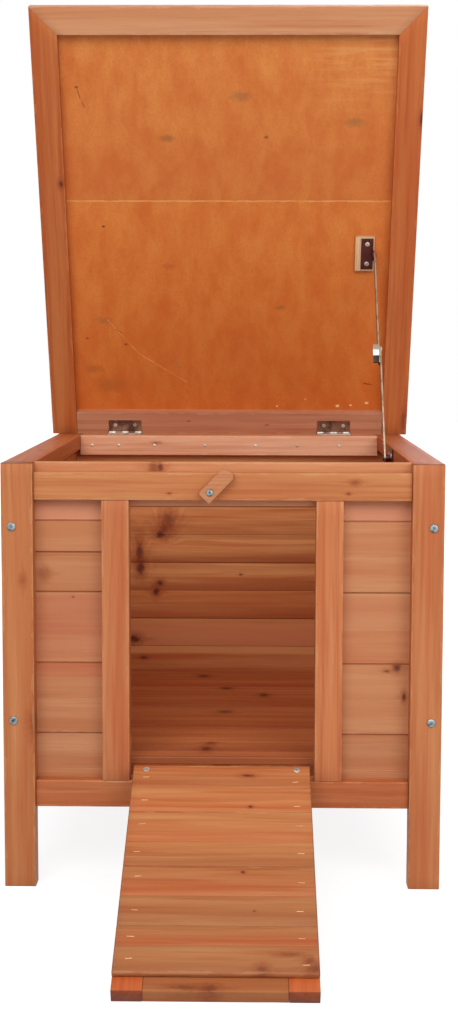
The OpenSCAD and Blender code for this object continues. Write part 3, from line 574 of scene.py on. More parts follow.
    @staticmethod
    def _scratch() -> Tree:
        """Builds a thin straight scratch between two points of a sheet.

        Returns:
            The group's tree.
        """
        inputs = {"Vector": "Vector", "From": "Vector", "To": "Vector", "Width": "Float"}
        group = EffectGroup("scratch", inputs, ("Mask",))
        bench, given = group.bench, group.given
        run = bench.vector("SUBTRACT", given["To"], given["From"])
        past = bench.vector("SUBTRACT", given["Vector"], given["From"])
        parts = {0: bench.vector("DOT_PRODUCT", past, run), 1: bench.vector("DOT_PRODUCT", run, run)}
        share = bench.wired("ShaderNodeMath", parts, operation="DIVIDE", use_clamp=True)
        nearest = bench.wired("ShaderNodeVectorMath", {0: run, "Scale": share}, operation="SCALE")
        broken = bench.cloud(given["Vector"], 60.0, 2.0)
        width = bench.times(given["Width"], bench.fade(broken, 0.35, 0.6, 0.25, 1.0))
        ratio = bench.maths("DIVIDE", bench.vector("DISTANCE", past, nearest), width)
        return group.give(Mask=bench.fade(ratio, 1.0, 0.35))


@dataclass(frozen=True)
class Knot:
    """A knot on a wide face: its place along and across the grain, its half sizes and its depth of colour."""

    along: float
    across: float
    radius: float
    length: float
    depth: float = 0.85


@dataclass(frozen=True)
class Band:
    """A band of colour along the grain, mostly a stain and in places painted light or painted shade, which
    grows from its start across the grain up to a sharp edge.
    """

    start: float
    edge: float
    tint: Colour
    share: float
    soft: float | None = None

    def mask(self, bench: NodeBench, across: Value) -> Socket:
        """Gives the band's strength.

        Args:
            bench: The tree it is built in.
            across: The place across the grain.

        Returns:
            The strength, up to the band's share.
        """
        way = math.copysign(1.0, self.edge - self.start)
        grown = self.start + way * (self.soft or abs(self.edge - self.start))
        inside = bench.fade(across, self.edge + way * 1.2 * MM, self.edge)
        return bench.times(bench.times(bench.fade(across, self.start, grown), inside), self.share)


@dataclass(frozen=True)
class StainedWood:
    """Colours and gloss of one stained timber finish."""

    slot: str
    pale: Colour
    middle: Colour
    deep: Colour
    ring: Colour
    worn: Colour
    end: Colour
    roughness: float = 0.5
    ring_width: float = 0.0052
    ring_share: float = 0.3
    shade_share: float = 0.16
    streak_share: float = 0.6

    def toned(self, red: float, green: float, blue: float) -> StainedWood:
        """Gives the same finish with each channel of its stain made stronger or weaker.

        Args:
            red: Factor on the red parts, in display values.
            green: Factor on the green parts.
            blue: Factor on the blue parts.

        Returns:
            The changed finish.
        """
        factors = [factor ** 2.2 for factor in (red, green, blue)]
        changed = {
            name: tuple(part * factor for part, factor in zip(getattr(self, name), factors))
            for name in ("pale", "middle", "deep", "ring", "worn", "end")
        }
        return replace(self, **changed)


def stained(slot: str, tints: Sequence[tuple[int, int, int]], **values: float) -> StainedWood:
    """Makes a wood finish."""
    return StainedWood(slot, *(stain(*tint) for tint in tints), **values)


def knots(*rows: tuple[float, ...]) -> tuple[Knot, ...]:
    """Makes knots from rows of their values."""
    return tuple(Knot(*row) for row in rows)


def bands(*rows: tuple) -> tuple[Band, ...]:
    """Makes bands from rows of start, edge, display colour, share and, where one is given, softness."""
    return tuple(Band(start, edge, stain(*tint), *rest) for start, edge, tint, *rest in rows)


FRAME_PINE = stained(
    "pine_frame",
    ((212, 142, 92), (199, 119, 72), (184, 96, 52), (164, 78, 38), (222, 162, 114), (116, 56, 32)),
    roughness=0.52, ring_width=0.0075, ring_share=0.2,
)
RED_PINE = stained(
    "pine_frame",
    ((198, 126, 80), (186, 104, 60), (168, 82, 42), (144, 62, 30), (212, 150, 106), (108, 50, 28)),
    roughness=0.52, ring_width=0.007, ring_share=0.22,
)
PALE_PINE = stained(
    "pine_frame",
    ((210, 152, 110), (200, 134, 92), (188, 114, 72), (172, 94, 54), (222, 172, 134), (136, 74, 46)),
    roughness=0.52, ring_width=0.0062, ring_share=0.16,
)
WALL_PINE = stained(
    "pine_boards",
    ((206, 146, 104), (192, 122, 80), (180, 104, 62), (158, 82, 44), (214, 158, 116), (122, 62, 36)),
    roughness=0.54, ring_width=0.012, ring_share=0.06, shade_share=0.06, streak_share=0.18,
)
ROSY_PINE = stained(
    "pine_boards",
    ((212, 152, 122), (200, 134, 102), (184, 110, 78), (158, 84, 56), (224, 170, 140), (124, 62, 42)),
    roughness=0.5, ring_width=0.0075, ring_share=0.18,
)
INNER_PINE = stained(
    "pine_boards",
    ((208, 140, 90), (194, 114, 66), (172, 88, 44), (140, 60, 28), (214, 148, 100), (108, 50, 28)),
    roughness=0.54, ring_width=0.0105, ring_share=0.26, shade_share=0.34,
)
FLOOR_PINE = stained(
    "floor_timber",
    ((196, 118, 70), (178, 96, 52), (154, 74, 36), (124, 54, 26), (160, 92, 56), (98, 46, 28)),
    roughness=0.5, ring_width=0.011, ring_share=0.26,
)
RAMP_PINE = stained(
    "ramp_boards",
    ((208, 142, 92), (194, 118, 68), (182, 96, 52), (156, 72, 38), (218, 158, 110), (118, 56, 32)),
    roughness=0.5, ring_width=0.01, ring_share=0.22, shade_share=0.22, streak_share=0.85,
)
RED_BATTEN = stained(
    "pine_frame",
    ((200, 104, 54), (188, 88, 40), (168, 68, 28), (140, 52, 24), (206, 120, 70), (82, 36, 24)),
    roughness=0.5, ring_width=0.008, ring_share=0.15,
)
PALE_BLOCK = stained(
    "pale_wood",
    ((226, 188, 146), (214, 168, 122), (196, 140, 94), (176, 118, 74), (234, 202, 166), (170, 116, 78)),
    roughness=0.6, ring_width=0.004, ring_share=0.3,
)


@dataclass(frozen=True)
class Timber:
    """One timber or set of boards: where it is, how its grain runs and what marks it has."""

    node: str
    cut: Cut
    wood: StainedWood
    seed: int
    knots: tuple[Knot, ...] = ()
    bands: tuple[Band, ...] = ()
    boards: tuple[float, float] | None = None
    part: Part = Part.CABIN
    mitre: Mitre = Mitre.NONE
    swept: bool = True


class WoodFinisher:
    """Turns a stained wood finish and a timber's own data into a material."""

    KNOT_HEART = stain(84, 34, 18)
    PITH_REACH = 0.05
    BOARD_SHIFT = 23.0

    def __init__(self, effects: Effects, workshop: Workshop) -> None:
        """Keeps what every timber material needs."""
        self.effects = effects
        self.workshop = workshop

    def own_frame(self, bench: NodeBench, part: Part) -> Socket:
        """Turns Object coordinates into a sub-assembly's own frame.

        Args:
            bench: The tree it is built in.
            part: The sub-assembly.

        Returns:
            The turned coordinates.
        """
        coords = bench.place()
        if part is Part.CABIN:
            return coords
        place = self.workshop.place[part]
        inputs = {"Vector": coords, "Location": place.to_translation(), "Rotation": place.to_euler()}
        return bench.wired("ShaderNodeMapping", inputs, vector_type="TEXTURE")

    def material(self, timber: Timber) -> Material:
        """Builds the material of one timber.

        Args:
            timber: The timber's data.

        Returns:
            The finished material.
        """
        effects, wood, order = self.effects, timber.wood, timber.cut.value
        surface = Surface(f"{wood.slot}.{timber.node}")
        bench = surface.bench
        parts = bench.split(self.own_frame(bench, timber.part))
        flat = bench.pack(*(parts[axis] for axis in order))
        across = parts[order[1]]
        box = self.workshop.corners(timber.node, timber.part)
        low, high = (tuple(corner[axis] for axis in order) for corner in box)
        own_seed = float(timber.seed)
        seed: Value = own_seed
        board = None
        if timber.boards is not None:
            start, pitch = timber.boards
            board = bench.use(effects.boards, Across=across, Start=start, Pitch=pitch, Seed=own_seed)
            seed = bench.maths("MULTIPLY_ADD", board["Random"], self.BOARD_SHIFT, own_seed)
        pull: Value = 0.0
        marks = []
        for knot in timber.knots:
            shape = {"Along": knot.along, "Across": knot.across, "Radius": knot.radius, "Length": knot.length}
            made = bench.use(effects.knot, Vector=flat, **shape)
            pull = bench.maths("ADD", pull, made["Pull"])
            marks += [
                (bench.times(made["Halo"], 0.55), wood.ring),
                (bench.times(made["Heart"], knot.depth), self.KNOT_HEART),
            ]
        pith = random.Random(timber.seed).uniform(-self.PITH_REACH, self.PITH_REACH)
        rings = {"Ring_Width": wood.ring_width, "Pith": pith, "Pull": pull}
        grain = bench.use(effects.grain, Vector=flat, Seed=seed, **rings)
        edges = bench.use(effects.edges, Vector=flat, Low=low, High=high, Seed=own_seed)
        coats = self.stain_coats(bench, wood, grain)
        if board is not None:
            coats += self.board_coats(bench, wood, board)
        wash = bench.fade(grain["Cloud"], 0.25, 0.6, 0.45, 1.0)
        coats += [(bench.times(band.mask(bench, across), wash), band.tint) for band in timber.bands]
        coats += marks
        coats.append((bench.times(edges["Worn"], 0.32), wood.worn))
        if timber.mitre is Mitre.NONE:
            coats.append((bench.times(edges["End"], 0.6), wood.end))
        return surface.coated(
            Base_Color=bench.layered(wood.pale, coats),
            Roughness=bench.maths("MULTIPLY_ADD", grain["Fibre"], 0.18, wood.roughness - 0.09),
            Specular_IOR_Level=0.24,
            Normal=bench.bump(grain["Height"], 0.22, 0.7 * MM),
        )

    @staticmethod
    def stain_coats(bench: NodeBench, wood: StainedWood, grain: Outputs) -> list[Coat]:
        """Gives the coats of plain stained wood: its clouds, streaks, rings and fibres."""
        return [
            (bench.fade(grain["Cloud"], 0.34, 0.66), wood.middle),
            (bench.fade(grain["Streak"], 0.5, 0.72, 0.0, wood.streak_share), wood.deep),
            (bench.times(grain["Rings"], wood.ring_share), wood.ring),
            (bench.fade(grain["Fibre"], 0.45, 0.75, 0.0, 0.22), wood.ring),
        ]

    @staticmethod
    def board_coats(bench: NodeBench, wood: StainedWood, board: Outputs) -> list[Coat]:
        """Gives the coats that tell one board of a wall from the next, and darken its joints."""
        return [
            (bench.fade(board["Random"], 0.35, 1.0, 0.0, 0.45), wood.deep),
            (bench.fade(board["Random"], 0.4, 0.0, 0.0, 0.35), wood.pale),
            (bench.times(board["Shade"], wood.shade_share), wood.ring),
            (bench.times(board["Joint"], 0.55), wood.end),
        ]


class PlyFinisher:
    """Makes the material of the lid's orange stained plywood, with the marks seen on it."""

    CHIP_TINT = stain(250, 214, 150)
    SCRAPE_TINT = stain(232, 156, 92)
    SPOTS: tuple[tuple[float, float, float, Colour], ...] = (
        (-0.2032, -0.4983, 0.0024, stain(70, 36, 22)), (-0.0824, -0.43, 0.007, stain(134, 84, 40)),
        (0.0156, -0.4863, 0.01, stain(150, 96, 52)), (0.1697, -0.4516, 0.0095, stain(146, 94, 50)),
        (0.051, -0.4314, 0.0032, stain(104, 48, 22)), (-0.1744, -0.3072, 0.0022, stain(92, 34, 22)),
        (0.0742, -0.1889, 0.005, stain(140, 92, 46)), (-0.179, -0.169, 0.008, stain(160, 96, 50)),
        (-0.204, -0.142, 0.0026, stain(110, 52, 24)), (-0.149, -0.133, 0.0026, stain(110, 52, 24)),
        (0.0702, -0.0373, 0.0016, CHIP_TINT), (0.1585, -0.0376, 0.003, CHIP_TINT),
        (0.1776, -0.0392, 0.002, CHIP_TINT), (0.2009, -0.0425, 0.0028, CHIP_TINT),
        (0.1112, -0.0485, 0.0013, stain(244, 204, 140)), (-0.17, -0.07, 0.017, stain(176, 92, 40)),
        (-0.196, -0.095, 0.009, stain(170, 88, 38)), (-0.085, -0.25, 0.006, stain(170, 92, 44)),
    )
    LINES: tuple[tuple[Point, Point, float, Colour], ...] = (
        ((-0.1741, -0.1703), (-0.1295, -0.1183), 0.0009, SCRAPE_TINT),
        ((-0.1295, -0.1183), (-0.0619, -0.0749), 0.0009, SCRAPE_TINT),
        ((-0.0619, -0.0749), (0.0157, -0.0546), 0.0005, stain(214, 122, 58)),
        ((0.0157, -0.0546), (0.1112, -0.0485), 0.0005, stain(212, 118, 54)),
        ((-0.0788, -0.1138), (-0.0719, -0.0905), 0.0012, stain(150, 110, 72)),
        ((-0.2032, -0.4983), (-0.199, -0.484), 0.0011, stain(104, 50, 28)),
        ((-0.1965, -0.479), (-0.1936, -0.4717), 0.0011, stain(112, 52, 28)),
        ((0.196, -0.0735), (0.2075, -0.0715), 0.0013, stain(66, 36, 22)),
        ((-0.162, -0.156), (-0.154, -0.15), 0.001, stain(128, 58, 30)),
    )
    BROAD_SPOT = 4 * MM
    PAINTED_SHEEN = stain(224, 160, 96)
    RAW_EDGE = stain(226, 160, 92)

    def __init__(self, woods: WoodFinisher) -> None:
        """Keeps the timber finisher, whose frames and groups it uses."""
        self.woods = woods

    def material(self, node: str, seed: float, pale: Colour, middle: Colour, deep: Colour) -> Material:
        """Builds the material of one plywood piece.

        Args:
            node: The CAD node's name.
            seed: Start of its random patterns.
            pale: Its lightest stain.
            middle: Its usual stain.
            deep: Its darkest stain.

        Returns:
            The finished material.
        """
        surface = Surface(f"plywood.{node}")
        bench = surface.bench
        x, y, _ = bench.split(self.woods.own_frame(bench, Part.LID))
        flat = bench.pack(x, y, 0.0)
        moved = bench.vector("ADD", flat, (seed, seed * 0.7, 0.0))
        warp = bench.drawn(moved, Weave.PLY_WARP)
        veneer = bench.pack(bench.maths("MULTIPLY_ADD", warp, 0.05, x), y, 0.0)
        flow = bench.drawn(veneer, Weave.PLY_FLOW, 5.0, 0.62)
        fine = bench.drawn(veneer, Weave.PLY_FIBRE, 3.0, 0.65)
        blotch = bench.drawn(moved, Weave.PLY_BLOTCH, 6.0, 0.68)
        ripple = bench.drawn(moved, Weave.PLY_RIPPLE, 2.0, 0.5)
        chip = bench.drawn(moved, Weave.PLY_CHIP)
        speck = bench.cloud(moved, 300.0, 3.0, 0.6)
        low, high = (corner.y for corner in self.woods.workshop.corners(node, Part.LID))
        # glow marks a patch near the lid's front edge where pale ripples are laid over the stain as a painted
        # sheen, standing for the veneer's silky shimmer.
        glow = bench.times(bench.fade(x, 0.06, 0.2), bench.fade(y, -0.44, -0.55))
        rim = bench.maths("MINIMUM", bench.less(y, low), bench.less(high, y))
        raw = bench.times(bench.fade(rim, 1.7 * MM, 0.4 * MM), bench.fade(chip, 0.36, 0.56, 0.25, 0.8))
        coats = [
            (bench.fade(flow, 0.3, 0.7), middle),
            (bench.fade(blotch, 0.44, 0.78, 0.0, 0.42), deep),
            (bench.fade(speck, 0.46, 0.66, 0.0, 0.24), deep),
            (bench.times(bench.fade(y, low, high), 0.35), deep),
            (bench.fade(fine, 0.5, 0.78, 0.0, 0.2), deep),
            (bench.times(glow, bench.fade(ripple, 0.42, 0.66, 0.1, 0.55)), self.PAINTED_SHEEN),
            *self.marks(bench, flat, low, high),
            (raw, self.RAW_EDGE),
        ]
        height = bench.maths("MULTIPLY_ADD", fine, 0.4, bench.times(ripple, 0.6))
        return surface.coated(
            Base_Color=bench.layered(pale, coats),
            Roughness=bench.fade(blotch, 0.3, 0.7, 0.4, 0.56),
            Specular_IOR_Level=0.26,
            Normal=bench.bump(height, 0.2, 0.7 * MM),
        )

    def marks(self, bench: NodeBench, flat: Value, low: float, high: float) -> list[Coat]:
        """Builds the spots and lines of one sheet.

        Args:
            bench: The tree they are built in.
            flat: The place on the sheet.
            low: The sheet's lowest place along the lid.
            high: Its highest place.

        Returns:
            A coat for each mark that lies on the sheet.
        """
        effects = self.woods.effects
        coats = []
        for x, y, radius, tint in self.SPOTS:
            if low < y < high:
                length, share = (radius * 1.8, 0.55) if radius > self.BROAD_SPOT else (radius * 1.2, 0.85)
                shape = {"Along": x, "Across": y, "Radius": radius * 0.85, "Length": length}
                spot = bench.use(effects.knot, Vector=flat, **shape)
                coats.append((bench.times(spot["Heart"], share), tint))
        for start, end, width, tint in self.LINES:
            if low < start[1] < high:
                shape = {"From": (*start, 0.0), "To": (*end, 0.0), "Width": width}
                line = bench.use(effects.scratch, Vector=flat, **shape)
                coats.append((bench.times(line["Mask"], 0.7), tint))
        return coats


@dataclass(frozen=True)
class Plating:
    """A plated or painted metal finish."""

    slot: str
    colour: Colour
    dull: Colour
    roughness: float
    metallic: float = 1.0
    scale: float = 1.0
    # Where a bent tab gets painted shade below its bend and a painted highlight above it: the X where the tab
    # ends, and its lowest and highest height.
    tab: tuple[float, float, float] | None = None


BRIGHT_ZINC = Plating("zinc_fasteners", stain(148, 160, 164), stain(72, 80, 86), 0.4, 0.9, 2.4)
LEAF_BROWN = Plating("zinc_hinges", stain(138, 98, 82), stain(80, 54, 46), 0.4, 0.85)
LEDGE_ZINC = Plating("zinc_hinges", stain(190, 184, 172), stain(120, 104, 88), 0.42, 0.9)
# The staples' pale yellow is partly a painted glint: it is lighter than their zinc plating.
STAPLE_WIRE_AND_GLINT = Plating("zinc_fasteners", stain(232, 192, 142), stain(200, 156, 108), 0.45, 0.5)
WORN_ZINC = Plating("zinc_fasteners", stain(206, 190, 178), stain(156, 128, 110), 0.44, 0.6)
STAY_ZINC = Plating("stay_steel", stain(176, 158, 136), stain(120, 98, 78), 0.34)
# The brackets are chrome; their dark maroon brown is a painted reflection of the stained wood round them.
PAINTED_REFLECTION_PLATE = Plating("dark_brackets", stain(92, 44, 40), stain(52, 26, 24), 0.34, 0.75)


class MetalFinisher:
    """Makes plated metals and the roofing sheet."""

    # Colours of the painted shade and the painted highlight on a bent tab.
    TAB_PAINTED_SHADE = stain(34, 26, 28)
    TAB_PAINTED_HIGHLIGHT = stain(240, 240, 244)
    TAB_BEND = 0.42
    TAB_TOP = 0.7

    def __init__(self, effects: Effects) -> None:
        """Keeps the shared effect groups."""
        self.effects = effects
        self.made: dict[str, Material] = {}

    def plated(self, plating: Plating) -> Material:
        """Gives the material of a plating, built once.

        Args:
            plating: The metal finish.

        Returns:
            Its material.
        """
        key = f"{plating.slot}.{plating.roughness}"
        if key not in self.made:
            self.made[key] = self.plate(key, plating)
        return self.made[key]

    def plate(self, name: str, plating: Plating) -> Material:
        """Builds the material of a plating.

        Args:
            name: The material's name.
            plating: The metal finish.

        Returns:
            The finished material.
        """
        surface = Surface(name)
        bench = surface.bench
        coords = bench.place()
        scuffs = bench.use(self.effects.scuffs, Vector=coords, Scale=plating.scale)
        coats = [
            (bench.fade(scuffs["Patch"], 0.42, 0.66, 0.0, 0.8), plating.dull),
            (bench.times(scuffs["Line"], 0.35), plating.colour),
            (bench.times(scuffs["Speck"], 0.3), plating.dull),
        ]
        # Painted shade and a painted highlight on the arm's bent tab.
        if plating.tab:
            coats += self.tab_painted_light_coats(bench, coords, *plating.tab)
        rough = bench.maths("MULTIPLY_ADD", scuffs["Patch"], 0.3, plating.roughness - 0.12)
        return surface.coated(
            Base_Color=bench.layered(plating.colour, coats),
            Metallic=plating.metallic,
            Roughness=bench.maths("MULTIPLY_ADD", scuffs["Line"], 0.12, rough),
            Normal=bench.bump(scuffs["Line"], 0.12, 0.2 * MM),
        )

    def tab_painted_light_coats(
        self, bench: NodeBench, coords: Value, beside: float, low: float, high: float
    ) -> list[Coat]:
        """Builds the painted shade below a bent tab's bend and the painted highlight above it.

        Args:
            bench: The tree they are built in.
            coords: Object coordinates.
            beside: Where the tab ends and its arm begins, along X.
            low: The tab's lowest height.
            high: Its highest height.

        Returns:
            Both coats.
        """
        across, _, up = bench.split(coords)
        bend, top = (low + (high - low) * share for share in (self.TAB_BEND, self.TAB_TOP))
        on_tab = bench.fade(across, beside + 1.6 * MM, beside + 1.2 * MM)
        dark = Band(bend, low - MM, self.TAB_PAINTED_SHADE, 0.92, 1.5 * MM)
        bright = Band(bend, top, self.TAB_PAINTED_HIGHLIGHT, 0.95, MM)
        return [(bench.times(band.mask(bench, up), on_tab), band.tint) for band in (dark, bright)]

    @staticmethod
    def felt() -> Material:
        """Makes the grit-faced roofing sheet's material.

        Returns:
            The finished material.
        """
        surface = Surface("roofing_felt")
        bench = surface.bench
        coords = bench.place()
        grit = bench.cells(coords, 900.0)
        tone = bench.chance(bench.times(bench.split(grit["Color"])[0], 977.0))
        wash = bench.cloud(coords, 5.0, 4.0, 0.6)
        coats = [
            (tone, stain(82, 98, 82)),
            (bench.fade(tone, 0.9, 0.98), stain(136, 146, 132)),
            (bench.fade(wash, 0.45, 0.7, 0.0, 0.4), stain(40, 52, 44)),
        ]
        return surface.coated(
            Base_Color=bench.layered(stain(46, 62, 50), coats),
            Roughness=0.86,
            Normal=bench.bump(bench.fade(grit["Distance"], 0.6, 0.0), 0.6, 0.6 * MM),
        )


def linked(name: str, data: bpy.types.ID) -> Piece:
    """Makes an object in the scene.

    Args:
        name: Its name.
        data: Its mesh, lamp or camera.

    Returns:
        The object.
    """
    made = bpy.data.objects.new(name, data)
    bpy.context.scene.collection.objects.link(made)
    return made


def meshed(name: str, work: WorkMesh, smooth: bool = True) -> bpy.types.Mesh:
    """Turns a work mesh into a mesh.

    Args:
        name: The mesh's name.
        work: The work mesh; it is freed.
        smooth: Whether its faces are shaded as one.

    Returns:
        The mesh.
    """
    mesh = bpy.data.meshes.new(name)
    work.to_mesh(mesh)
    work.free()
    for polygon in mesh.polygons:
        polygon.use_smooth = smooth
    return mesh


def shaped(name: str, work: WorkMesh, place: Matrix, material: Material, smooth: bool = True) -> Piece:
    """Turns a work mesh into an object whose place is in its mesh.

    Args:
        name: The new object's name.
        work: The mesh in its sub-assembly's frame; it is freed.
        place: The sub-assembly's place.
        material: The finish.
        smooth: Whether its faces are shaded as one.

    Returns:
        The new object, linked to the scene.
    """
    bmesh.ops.recalc_face_normals(work, faces=work.faces)
    work.transform(place)
    mesh = meshed(name, work, smooth)
    mesh.materials.append(material)
    return linked(name, mesh)


@dataclass
class Planer:
    """Sweeps a timber's section along its grain, with eased arrises and the plane's slight waver."""

    arris: float = 0.7 * MM
    arc_steps: int = 3
    face_steps: int = 5
    station: float = 16 * MM
    waver: float = 0.16 * MM
    waver_along: float = 9.0
    waver_across: float = 30.0
    knock: float = 0.4 * MM
    knock_along: float = 55.0
    knock_across: float = 40.0
    knock_from: float = 0.32
    end_setback: float = 0.6
    end_easing: float = 0.35
    seed_shift: float = 3.7

    def outline(self, low: Point, high: Point) -> list[tuple[Point, Point, bool]]:
        """Gives a rounded rectangle.

        Args:
            low: The section's lowest corner.
            high: Its highest corner.

        Returns:
            Each point, its inward direction, and whether it is on an arris.
        """
        centres = [
            (high[0] - self.arris, high[1] - self.arris, 0),
            (low[0] + self.arris, high[1] - self.arris, 90),
            (low[0] + self.arris, low[1] + self.arris, 180),
            (high[0] - self.arris, low[1] + self.arris, 270),
        ]
        points = []
        for (u, v, start), (next_u, next_v, _) in zip(centres, centres[1:] + centres[:1]):
            for step in range(self.arc_steps + 1):
                out_u, out_v = self.heading(start + 90 * step / self.arc_steps)
                first = (u + self.arris * out_u, v + self.arris * out_v)
                points.append((first, (-out_u, -out_v), True))
            last = (next_u + self.arris * out_u, next_v + self.arris * out_v)
            for step in range(1, self.face_steps):
                share = step / self.face_steps
                at = tuple(begin + (end - begin) * share for begin, end in zip(first, last))
                points.append((at, (-out_u, -out_v), False))
        return points

    @staticmethod
    def heading(degrees: float) -> Point:
        """Gives the direction at an angle in the section."""
        return math.cos(math.radians(degrees)), math.sin(math.radians(degrees))

    def sweep(self, low: Vector, high: Vector, cut: Cut, seed: int, mitre: Mitre) -> WorkMesh:
        """Builds the timber between two corners of its sub-assembly's frame.

        Args:
            low: The lowest corner.
            high: The highest corner.
            cut: How its grain runs.
            seed: Start of its random waver.
            mitre: Its mitred ends.

        Returns:
            A closed work mesh.
        """
        order = cut.value
        start, end = low[order[0]], high[order[0]]
        section_low, section_high = ((corner[order[1]], corner[order[2]]) for corner in (low, high))
        outline = self.outline(section_low, section_high)
        count = max(2, round((end - start) / self.station))
        setback = self.arris * self.end_setback / (end - start)
        shares = [0.0, setback, *(step / count for step in range(1, count)), 1 - setback, 1.0]
        work = bmesh.new()
        rings = []
        for share in shares:
            ring = []
            easing = self.arris * self.end_easing if share in (0.0, 1.0) else 0.0
            for (u, v), (inward_u, inward_v), on_arris in outline:
                first, last = self.ends(start, end, u, section_low[0], section_high[0], mitre)
                along = first + (last - first) * share
                push = self.push(along, u, v, seed * self.seed_shift, on_arris) + easing
                spot = [0.0, 0.0, 0.0]
                spot[order[0]] = along
                spot[order[1]] = u + inward_u * push
                spot[order[2]] = v + inward_v * push
                ring.append(work.verts.new(spot))
            rings.append(ring)
        self.skin(work, rings)
        return work

    def push(self, along: float, u: float, v: float, offset: float, on_arris: bool) -> float:
        """Gives how far the plane, and knocks on an arris, have taken the surface in.

        Args:
            along: The place along the grain.
            u: The place across the wide face.
            v: The place through the thickness.
            offset: Start of the timber's own waver.
            on_arris: Whether the place is on an arris.

        Returns:
            The depth in metres.
        """
        across, deep = u * self.waver_across, v * self.waver_across + offset
        depth = self.waver * lump(along * self.waver_along + offset, across, deep)
        if on_arris:
            place = (along * self.knock_along + offset, u * self.knock_across + 9, v * self.knock_across)
            depth += self.knock * max(0.0, noise.noise(Vector(place)) - self.knock_from)
        return depth

    @staticmethod
    def ends(start: float, end: float, u: float, low: float, high: float, mitre: Mitre) -> Point:
        """Gives where one line of a timber starts and ends.

        Args:
            start: The timber's lowest place along the grain.
            end: Its highest place along the grain.
            u: The line's place across the wide face.
            low: The wide face's lowest edge.
            high: Its highest edge.
            mitre: The timber's mitred ends.

        Returns:
            The start and the end of the line.
        """
        if mitre is Mitre.LOW_FROM_LOW:
            return start + (u - low), end
        if mitre is Mitre.LOW_FROM_HIGH:
            return start + (high - u), end
        if mitre is Mitre.BOTH_FROM_LOW:
            return start + (u - low), end - (u - low)
        return start, end

    @staticmethod
    def skin(work: WorkMesh, rings: list[list[bmesh.types.BMVert]]) -> None:
        """Joins rings of points with faces and closes both ends.

        Args:
            work: The work mesh.
            rings: Its points, ring after ring.
        """
        size = len(rings[0])
        for first, second in zip(rings, rings[1:]):
            for index in range(size):
                follow = (index + 1) % size
                work.faces.new((first[index], first[follow], second[follow], second[index]))
        work.faces.new(list(reversed(rings[0])))
        work.faces.new(rings[-1])


@dataclass
class RampBoards:
    """Sweeps the ramp's tongued boards, with soft V-joints and a bead on both faces."""

    EDGE_STEPS = ((1.0, 0.0, True), (0.35, 0.5, False), (0.06, 1.2, False))
    BEAD_STEPS = ((0.1, -1.4), (0.5, -0.6), (1.0, 0.0), (0.5, 0.6), (0.1, 1.4))
    FACE_STEPS = 5

    vee: float = 1.3 * MM
    bead: float = 0.9 * MM
    station: float = 12 * MM
    waver: float = 0.22 * MM
    tongue: float = 4 * MM
    end_tuck: float = 0.7 * MM
    end_setback: float = 0.6 * MM

    def sweep(self, low: Vector, high: Vector, tongued: bool, bead_at: float, seed: int) -> WorkMesh:
        """Builds one board in the ramp's frame.

        Args:
            low: The lowest corner of the board with its tongue.
            high: The highest corner.
            tongued: Whether the top edge has a tongue that the next board hides.
            bead_at: Height of the bead.
            seed: Start of its waver.

        Returns:
            A closed work mesh.
        """
        top = high.z - (self.tongue if tongued else 0.0)
        bottom, back, face = low.z, low.y, high.y
        section = self.side(face, bottom, top, bead_at, -1.0)
        section += reversed(self.side(back, bottom, top, bead_at, 1.0))
        count = round((high.x - low.x) / self.station)
        setbacks = {0: self.end_setback, count: -self.end_setback}
        work = bmesh.new()
        rings = []
        for number in range(-1, count + 2):
            share = min(max(number / count, 0.0), 1.0)
            x = low.x + (high.x - low.x) * share + setbacks.get(number, 0.0)
            tuck = self.end_tuck if number in (-1, count + 1) else 0.0
            ring = []
            for y, z, at_edge in section:
                depth = self.waver * lump(x * 12, z * 45, seed * 2.3) + tuck
                spot_y = y + math.copysign(depth, (back + face) / 2 - y)
                spot_z = z + math.copysign(tuck, (bottom + top) / 2 - z) if at_edge else z
                ring.append(work.verts.new((x, spot_y, spot_z)))
            rings.append(ring)
        Planer.skin(work, rings)
        return work

    def side(
        self, y: float, bottom: float, top: float, bead_at: float, inward: float
    ) -> list[tuple[float, float, bool]]:
        """Gives one face's profile from its lower to its upper edge.

        Args:
            y: The face's place.
            bottom: Its lower edge.
            top: Its upper edge.
            bead_at: Height of its bead.
            inward: 1 or -1, the direction into the board.

        Returns:
            Points as (y, z, whether the end cut moves them along z).
        """
        vee, bead = inward * self.vee, inward * self.bead
        edge = self.EDGE_STEPS
        low_edge = [(y + vee * depth, bottom + self.vee * rise, end) for depth, rise, end in edge]
        high_edge = [(y + vee * depth, top - self.vee * rise, end) for depth, rise, end in reversed(edge)]
        hollow = [(y + bead * depth, bead_at + self.bead * rise, False) for depth, rise in self.BEAD_STEPS]
        below = self.flat_part(y, low_edge[-1][1], hollow[0][1])
        above = self.flat_part(y, hollow[-1][1], high_edge[0][1])
        return low_edge + below + hollow + above + high_edge

    def flat_part(self, y: float, first: float, last: float) -> list[tuple[float, float, bool]]:
        """Gives the points between two heights of a flat face."""
        steps = range(1, self.FACE_STEPS)
        return [(y, first + (last - first) * step / self.FACE_STEPS, False) for step in steps]


class HeadStyle(Enum):
    """Shapes of fastener heads, as shares of the head's radius and height from its top down."""

    PAN = (
        (0.0, 1.0), (0.14, 1.0),
        *((math.cos(math.radians(a)), 0.35 + 0.65 * math.sin(math.radians(a))) for a in (74, 58, 40, 20, 0)),
        (1.0, 0.12), (0.95, 0.0),
    )
    FLAT = ((0.0, 0.0), (0.3, 0.0), (0.93, -0.02), (1.0, -0.12))
    NAIL = ((0.0, 1.0), (0.7, 0.96), (0.95, 0.6), (1.0, 0.2), (0.96, 0.0))


